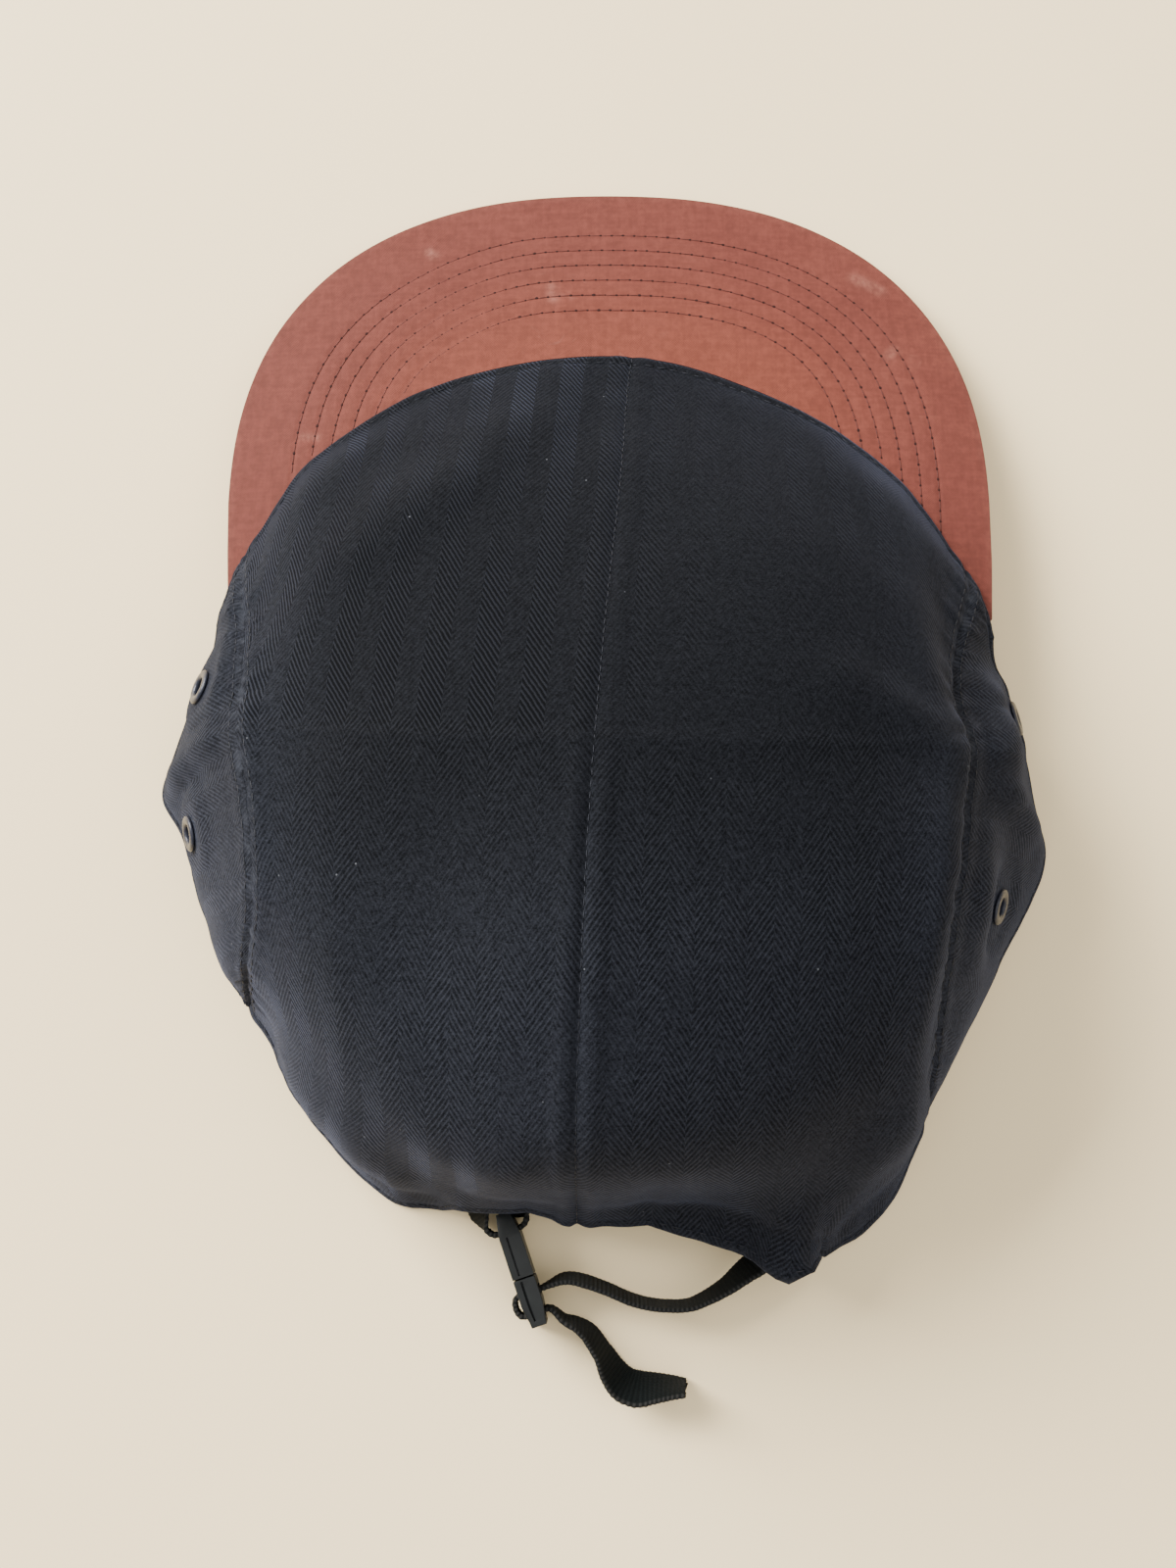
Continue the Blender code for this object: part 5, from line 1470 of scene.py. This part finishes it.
def strap_path():
    bend = 0.45 * WEB_THICKNESS
    below, above = -0.62 * BUCKLE_THICKNESS, 0.38 * BUCKLE_THICKNESS
    weave = (
        (PLUG_SLOT_IN, below), (PLUG_SLOT_IN, above), (PLUG_SLOT_IN + bend, OVER_BAR - WEB_CLEARANCE / 2),
        ((PLUG_SLOT_IN + PLUG_SLOT_OUT) / 2, OVER_BAR + WEB_CLEARANCE / 3),
        (PLUG_SLOT_OUT - bend, OVER_BAR - WEB_CLEARANCE / 2), (PLUG_SLOT_OUT, above),
        (PLUG_SLOT_OUT, below),
    )
    path = on_crown(STRAP_ON_CROWN) + from_slot(STRAP_TO_BUCKLE, PLUG_SLOT_IN, BUCKLE_LENGTH)
    path += [buckle_place(length, out) for length, out in weave]
    path += from_slot(TAIL, PLUG_SLOT_OUT, TAIL_LENGTH)
    lean = leans(STRAP_ON_CROWN, STRAP_TO_BUCKLE) + [0] * len(weave) + leans(TAIL)
    return path, lean


def web_frames(path, lean):
    """Even places along the webbing: spot, length, and the directions along, across and out of it."""
    coarse = [along(path, k / WEB_FINER) for k in range(WEB_FINER * (len(path) - 1) + 1)]
    spots, lengths, angles = [], [], []
    for index, part, length in even_steps(coarse, round(lengths_to(coarse)[-1] / WEB_STEP)):
        row = (index + part) / WEB_FINER
        at = min(int(row), len(path) - 2)
        spots.append(coarse[index].lerp(coarse[index + 1], part))
        lengths.append(length)
        angles.append(math.radians(lean[at] * (1 - row + at) + lean[at + 1] * (row - at)))
    frames = []
    for k, (spot, length, angle) in enumerate(zip(spots, lengths, angles)):
        run = (spots[min(k + 4, len(spots) - 1)] - spots[max(k - 4, 0)]).normalized()
        side = run.cross(Vector((0, 0, 1))).normalized()
        wide = side.cross(run).normalized() * math.cos(angle) + side * math.sin(angle)
        frames.append((spot, length, run, wide, run.cross(wide).normalized()))
    return frames


def web_section():
    """Places round the webbing's section, in shares of its half width and half thickness."""
    ring = []
    for k in range(WEB_AROUND):
        angle = 2 * math.pi * k / WEB_AROUND
        wide = math.copysign(abs(math.cos(angle)) ** 0.42, math.cos(angle))
        thick = math.copysign(abs(math.sin(angle)) ** 0.30, math.sin(angle))
        ring.append((wide, thick))
    return ring


def woven_band(name, path, lean, ragged_end):
    """Webbing along a path: a grid wrapped round its section, with a rib at every pick."""
    frames, ring = web_frames(path, lean), web_section()
    total = len(frames) - 1
    bm = bmesh.new()
    chart = bm.verts.layers.float_vector.new("on_web")
    bmesh.ops.create_grid(bm, x_segments=total, y_segments=WEB_AROUND, size=1.0)
    for vert in bm.verts:
        k = round((vert.co.x + 1) / 2 * total)
        wide_share, thick_share = ring[round((vert.co.y + 1) / 2 * WEB_AROUND) % WEB_AROUND]
        spot, length, run, wide, thick = frames[k]
        flat = smooth((1 - abs(wide_share)) * WEB_WIDTH / 2 / SELVAGE_WIDTH)
        valley = 0.5 - 0.5 * math.cos(2 * math.pi * length / RIB_STEP)
        fibre = noise.noise(Vector((length / 0.0011, wide_share * 4, thick_share * 3 + 5)))
        height = -RIB_HEIGHT * valley * (0.35 + 0.65 * flat) + WEB_FUZZ * fibre
        half_wide = WEB_WIDTH / 2 - EDGE_NOTCH * valley + EDGE_FUZZ * fibre
        place = spot + wide * wide_share * half_wide
        place += thick * thick_share * (WEB_THICKNESS / 2 + height)
        if ragged_end:
            close = smooth((k - total) * WEB_STEP / (3 * TAIL_RAGGED) + 1)
            jag = noise.noise(Vector((wide_share * 5.5, 0.4 * thick_share, 2.0)))
            place += run * close * TAIL_RAGGED * jag
        vert[chart] = (length, wide_share * WEB_WIDTH / 2, 0.0)
        vert.co = place + PLACE_SHIFT
        vert.co.z = max(vert.co.z, TABLE_GAP)
    bmesh.ops.remove_doubles(bm, verts=bm.verts, dist=0.000004)
    bmesh.ops.holes_fill(bm, edges=[edge for edge in bm.edges if edge.is_boundary], sides=0)
    bmesh.ops.recalc_face_normals(bm, faces=bm.faces)
    if ragged_end:
        add_tail_fibres(bm, frames[-1])
    return small_piece(name, bm, WEBBING_MATERIAL)


def add_tail_fibres(bm, end):
    """Loose ends of the warp at the cut."""
    spot, _, run, wide, thick = end
    fibre = bead_shape(5, 4)
    for k in range(TAIL_FIBRES):
        stray = [noise.noise(Vector((k * 1.37, 3.3 * m, 9.1))) for m in range(1, 5)]
        share = 1.9 * (k + 0.5) / TAIL_FIBRES - 0.95 + 0.10 * stray[0]
        start = spot + wide * share * WEB_WIDTH / 2 + thick * stray[1] * WEB_THICKNESS * 0.6
        lean_out = (run + wide * 1.1 * stray[2] + thick * 1.1 * stray[3]).normalized()
        length = FIBRE_SHORTEST + FIBRE_LONGER * abs(stray[0] + stray[3])
        size = (length, FIBRE_THICKNESS, FIBRE_THICKNESS)
        add_bead(bm, fibre, start - run * FIBRE_ROOT, lean_out, thick, size)


def webbing_material():
    material, tree, shader, place = new_material(
        "ribbed webbing", 0.88, Specular_IOR_Level=0.08, Sheen_Weight=0.02, Sheen_Roughness=0.4)
    chart = add_node(tree, "Attribute", attribute_name="on_web").outputs["Vector"]
    length, across, _ = add_node(tree, "SeparateXYZ", {0: chart}).outputs
    rib = calc(tree, "COSINE", calc(tree, "MULTIPLY", length, 2 * math.pi / RIB_STEP))
    ends = calc(tree, "SINE", calc(tree, "MULTIPLY", across, 2 * math.pi / WEB_YARN_STEP))
    fuzz = noise_at(tree, place, 2200.0, 3.0)
    tone = calc(tree, "MULTIPLY_ADD", rib, 0.30, calc(tree, "MULTIPLY", fuzz, 0.9))
    colour = blend_colours(tree, tone, WEB_DARK, WEB_RIDGE)
    edge = WEB_WIDTH / 2
    # Painted highlight: the band's edges, the upper of which faces up into the light, are drawn much lighter,
    # most on the rib tops
    lit_edge = ramp(tree, calc(tree, "ABSOLUTE", across), edge - SELVAGE_WIDTH, edge - SELVAGE_BINDING)
    lit_picks = ramp(tree, rib, -0.2, 0.5, 0.25, 1.0)
    colour = blend_colours(tree, calc(tree, "MULTIPLY", lit_edge, lit_picks), colour, WEB_EDGE_HIGHLIGHT)
    join_surface(tree, shader, colour, calc(tree, "MULTIPLY_ADD", ends, 0.25, fuzz), 0.9, WEB_BUMP)
    return material


WEBBING_MATERIAL = webbing_material()
for band_name, (band_path, band_lean), ragged in (
    ("strap_loop", loop_path(), False),
    ("strap", strap_path(), True),
):
    band = woven_band(band_name + "_webbing", band_path, band_lean, ragged)
    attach(band, "root")
    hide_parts(band_name)


# Buckle: a small side-release buckle of dark moulded plastic, lying on its long edge. The socket is two
# halves with a joint line along the edge, and the plug carries the bars that the strap goes round.
BUCKLE_ROUND = 0.00042
# The joint line: its middle, half its width, its depth, and where it starts and ends on each half
JOINT_AT = 0.00072
JOINT_HALF = 0.00020
JOINT_DEPTH = 0.00085
# The line's strips are looked for this far below and above it
JOINT_BELOW = 0.0004
JOINT_ABOVE = 0.0001
SOCKET_JOINT = (0.0052, SOCKET_LENGTH - 0.0006)
PLUG_JOINT = (PLUG_START + 0.0005, BUCKLE_LENGTH - 0.0012)
# The ends narrow to these shares of the thickness, and less in their height
SOCKET_TIP = 0.62
PLUG_TIP = 0.70
TAPER_LENGTH = 0.0052
TAPER_IN_HEIGHT = 0.35
PLASTIC_DARK = (0.0042, 0.0052, 0.0054)
PLASTIC_LIGHT = (0.0080, 0.0096, 0.0098)
# The sharp edges' lighter colour: rubbed plastic, with a painted highlight where they catch the light
PLASTIC_RUBBED_AND_LIT = (0.050, 0.050, 0.054)
PLASTIC_BUMP = 0.00004


def cut_across(bm, axis, places):
    for place in places:
        spot, direction = Vector((0, 0, 0)), Vector((0, 0, 0))
        spot[axis], direction[axis] = place, 1.0
        bmesh.ops.bisect_plane(
            bm, geom=bm.verts[:] + bm.edges[:] + bm.faces[:], plane_co=spot, plane_no=direction,
            dist=0.000001)


def within(face, limits):
    middle = face.calc_center_median()
    return all(low < middle[axis] < high for axis, (low, high) in limits.items())


def buckle_half(name, start, end, slots, joint, tips):
    """A moulded half: a block with slots through its thickness, a joint line and tapered tips."""
    thick, wide = BUCKLE_THICKNESS / 2, BUCKLE_WIDTH / 2
    tall, half_slot = WEB_WIDTH / 2 + SLOT_CLEARANCE, SLOT_WIDTH / 2
    bm = bmesh.new()
    bmesh.ops.create_cube(bm, size=1.0)
    for vert in bm.verts:
        vert.co = ((start + end) / 2 + vert.co.x * (end - start), vert.co.y * 2 * thick, vert.co.z * 2 * wide)
    ends = [at + shift for at in slots for shift in (-half_slot, half_slot)]
    tapers = [start + TAPER_LENGTH] if tips[0] < 1 else []
    tapers += [end - TAPER_LENGTH] if tips[1] < 1 else []
    cut_across(bm, 0, ends + tapers + list(joint))
    cut_across(bm, 1, (JOINT_AT - JOINT_HALF, JOINT_AT + JOINT_HALF))
    cut_across(bm, 2, (-tall, tall))
    for vert in bm.verts:
        share = tips[0] + (1 - tips[0]) * smooth((vert.co.x - start) / TAPER_LENGTH)
        share *= tips[1] + (1 - tips[1]) * smooth((end - vert.co.x) / TAPER_LENGTH)
        vert.co.y *= share
        vert.co.z *= TAPER_IN_HEIGHT * share + 1 - TAPER_IN_HEIGHT
    for at in slots:
        limits = {0: (at - half_slot, at + half_slot), 2: (-tall, tall)}
        mouths = [f for f in bm.faces if abs(f.normal.y) > 0.5 and within(f, limits)]
        rims = [e for f in mouths for e in f.edges]
        bmesh.ops.delete(bm, geom=mouths, context="FACES_ONLY")
        bmesh.ops.bridge_loops(bm, edges=list(set(rims)))
    bmesh.ops.recalc_face_normals(bm, faces=bm.faces)
    # The narrow strips between the cuts, on the upper and the lower rail, are pushed in as the joint line
    limits = {0: joint, 1: (JOINT_AT - JOINT_HALF - JOINT_BELOW, JOINT_AT + JOINT_HALF + JOINT_ABOVE)}
    strips = [f for f in bm.faces if abs(f.normal.z) > 0.8 and abs(f.calc_center_median().z) > tall
              and within(f, limits) and abs(f.calc_center_median().y) < thick / 2]
    strips = [f for f in strips if f.calc_area() < 4 * JOINT_HALF * (joint[1] - joint[0])]
    made = bmesh.ops.extrude_face_region(bm, geom=strips)
    bmesh.ops.delete(bm, geom=[f for f in strips if f.is_valid], context="FACES_ONLY")
    for item in made["geom"]:
        if isinstance(item, bmesh.types.BMVert):
            item.co.z -= math.copysign(JOINT_DEPTH, item.co.z)
    bmesh.ops.recalc_face_normals(bm, faces=bm.faces)
    sharp = [e for e in bm.edges if e.calc_face_angle(0.0) > math.radians(40)]
    bmesh.ops.bevel(
        bm, geom=sharp, offset=BUCKLE_ROUND, segments=3, profile=0.5, affect="EDGES", material=-1,
        clamp_overlap=True)
    for vert in bm.verts:
        vert.co = buckle_place(*vert.co) + PLACE_SHIFT
    bmesh.ops.recalc_face_normals(bm, faces=bm.faces)
    return small_piece(name, bm, PLASTIC_MATERIAL)


def plastic_material():
    material, tree, shader, place = new_material("moulded plastic", 0.48, Specular_IOR_Level=0.24)
    cloud = noise_at(tree, place, 160.0, 3.0)
    grain = noise_at(tree, place, 3800.0, 2.0)
    colour = blend_colours(tree, ramp(tree, cloud, 0.3, 0.7), PLASTIC_DARK, PLASTIC_LIGHT)
    # Sharp edges are lighter: partly rubbed, partly a painted highlight
    edge = add_node(tree, "NewGeometry").outputs["Pointiness"]
    rubbed = calc(tree, "MULTIPLY", ramp(tree, edge, 0.52, 0.60), ramp(tree, grain, 0.35, 0.6))
    colour = blend_colours(tree, calc(tree, "MULTIPLY", rubbed, 0.7), colour, PLASTIC_RUBBED_AND_LIT)
    tree.links.new(calc(tree, "MULTIPLY_ADD", cloud, 0.2, 0.36), shader.inputs["Roughness"])
    join_surface(tree, shader, colour, grain, 0.5, PLASTIC_BUMP)
    return material


PLASTIC_MATERIAL = plastic_material()
buckle_halves = (
    ("buckle_socket", 0.0, SOCKET_LENGTH, (SOCKET_SLOT,), SOCKET_JOINT, (SOCKET_TIP, 1.0)),
    ("buckle_plug", PLUG_START, BUCKLE_LENGTH, (PLUG_SLOT_IN, PLUG_SLOT_OUT), PLUG_JOINT, (1.0, PLUG_TIP)),
)
for half_name, *half_shape in buckle_halves:
    half = buckle_half(half_name + "_plastic", *half_shape)
    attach(half, "root")
    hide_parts(half_name)
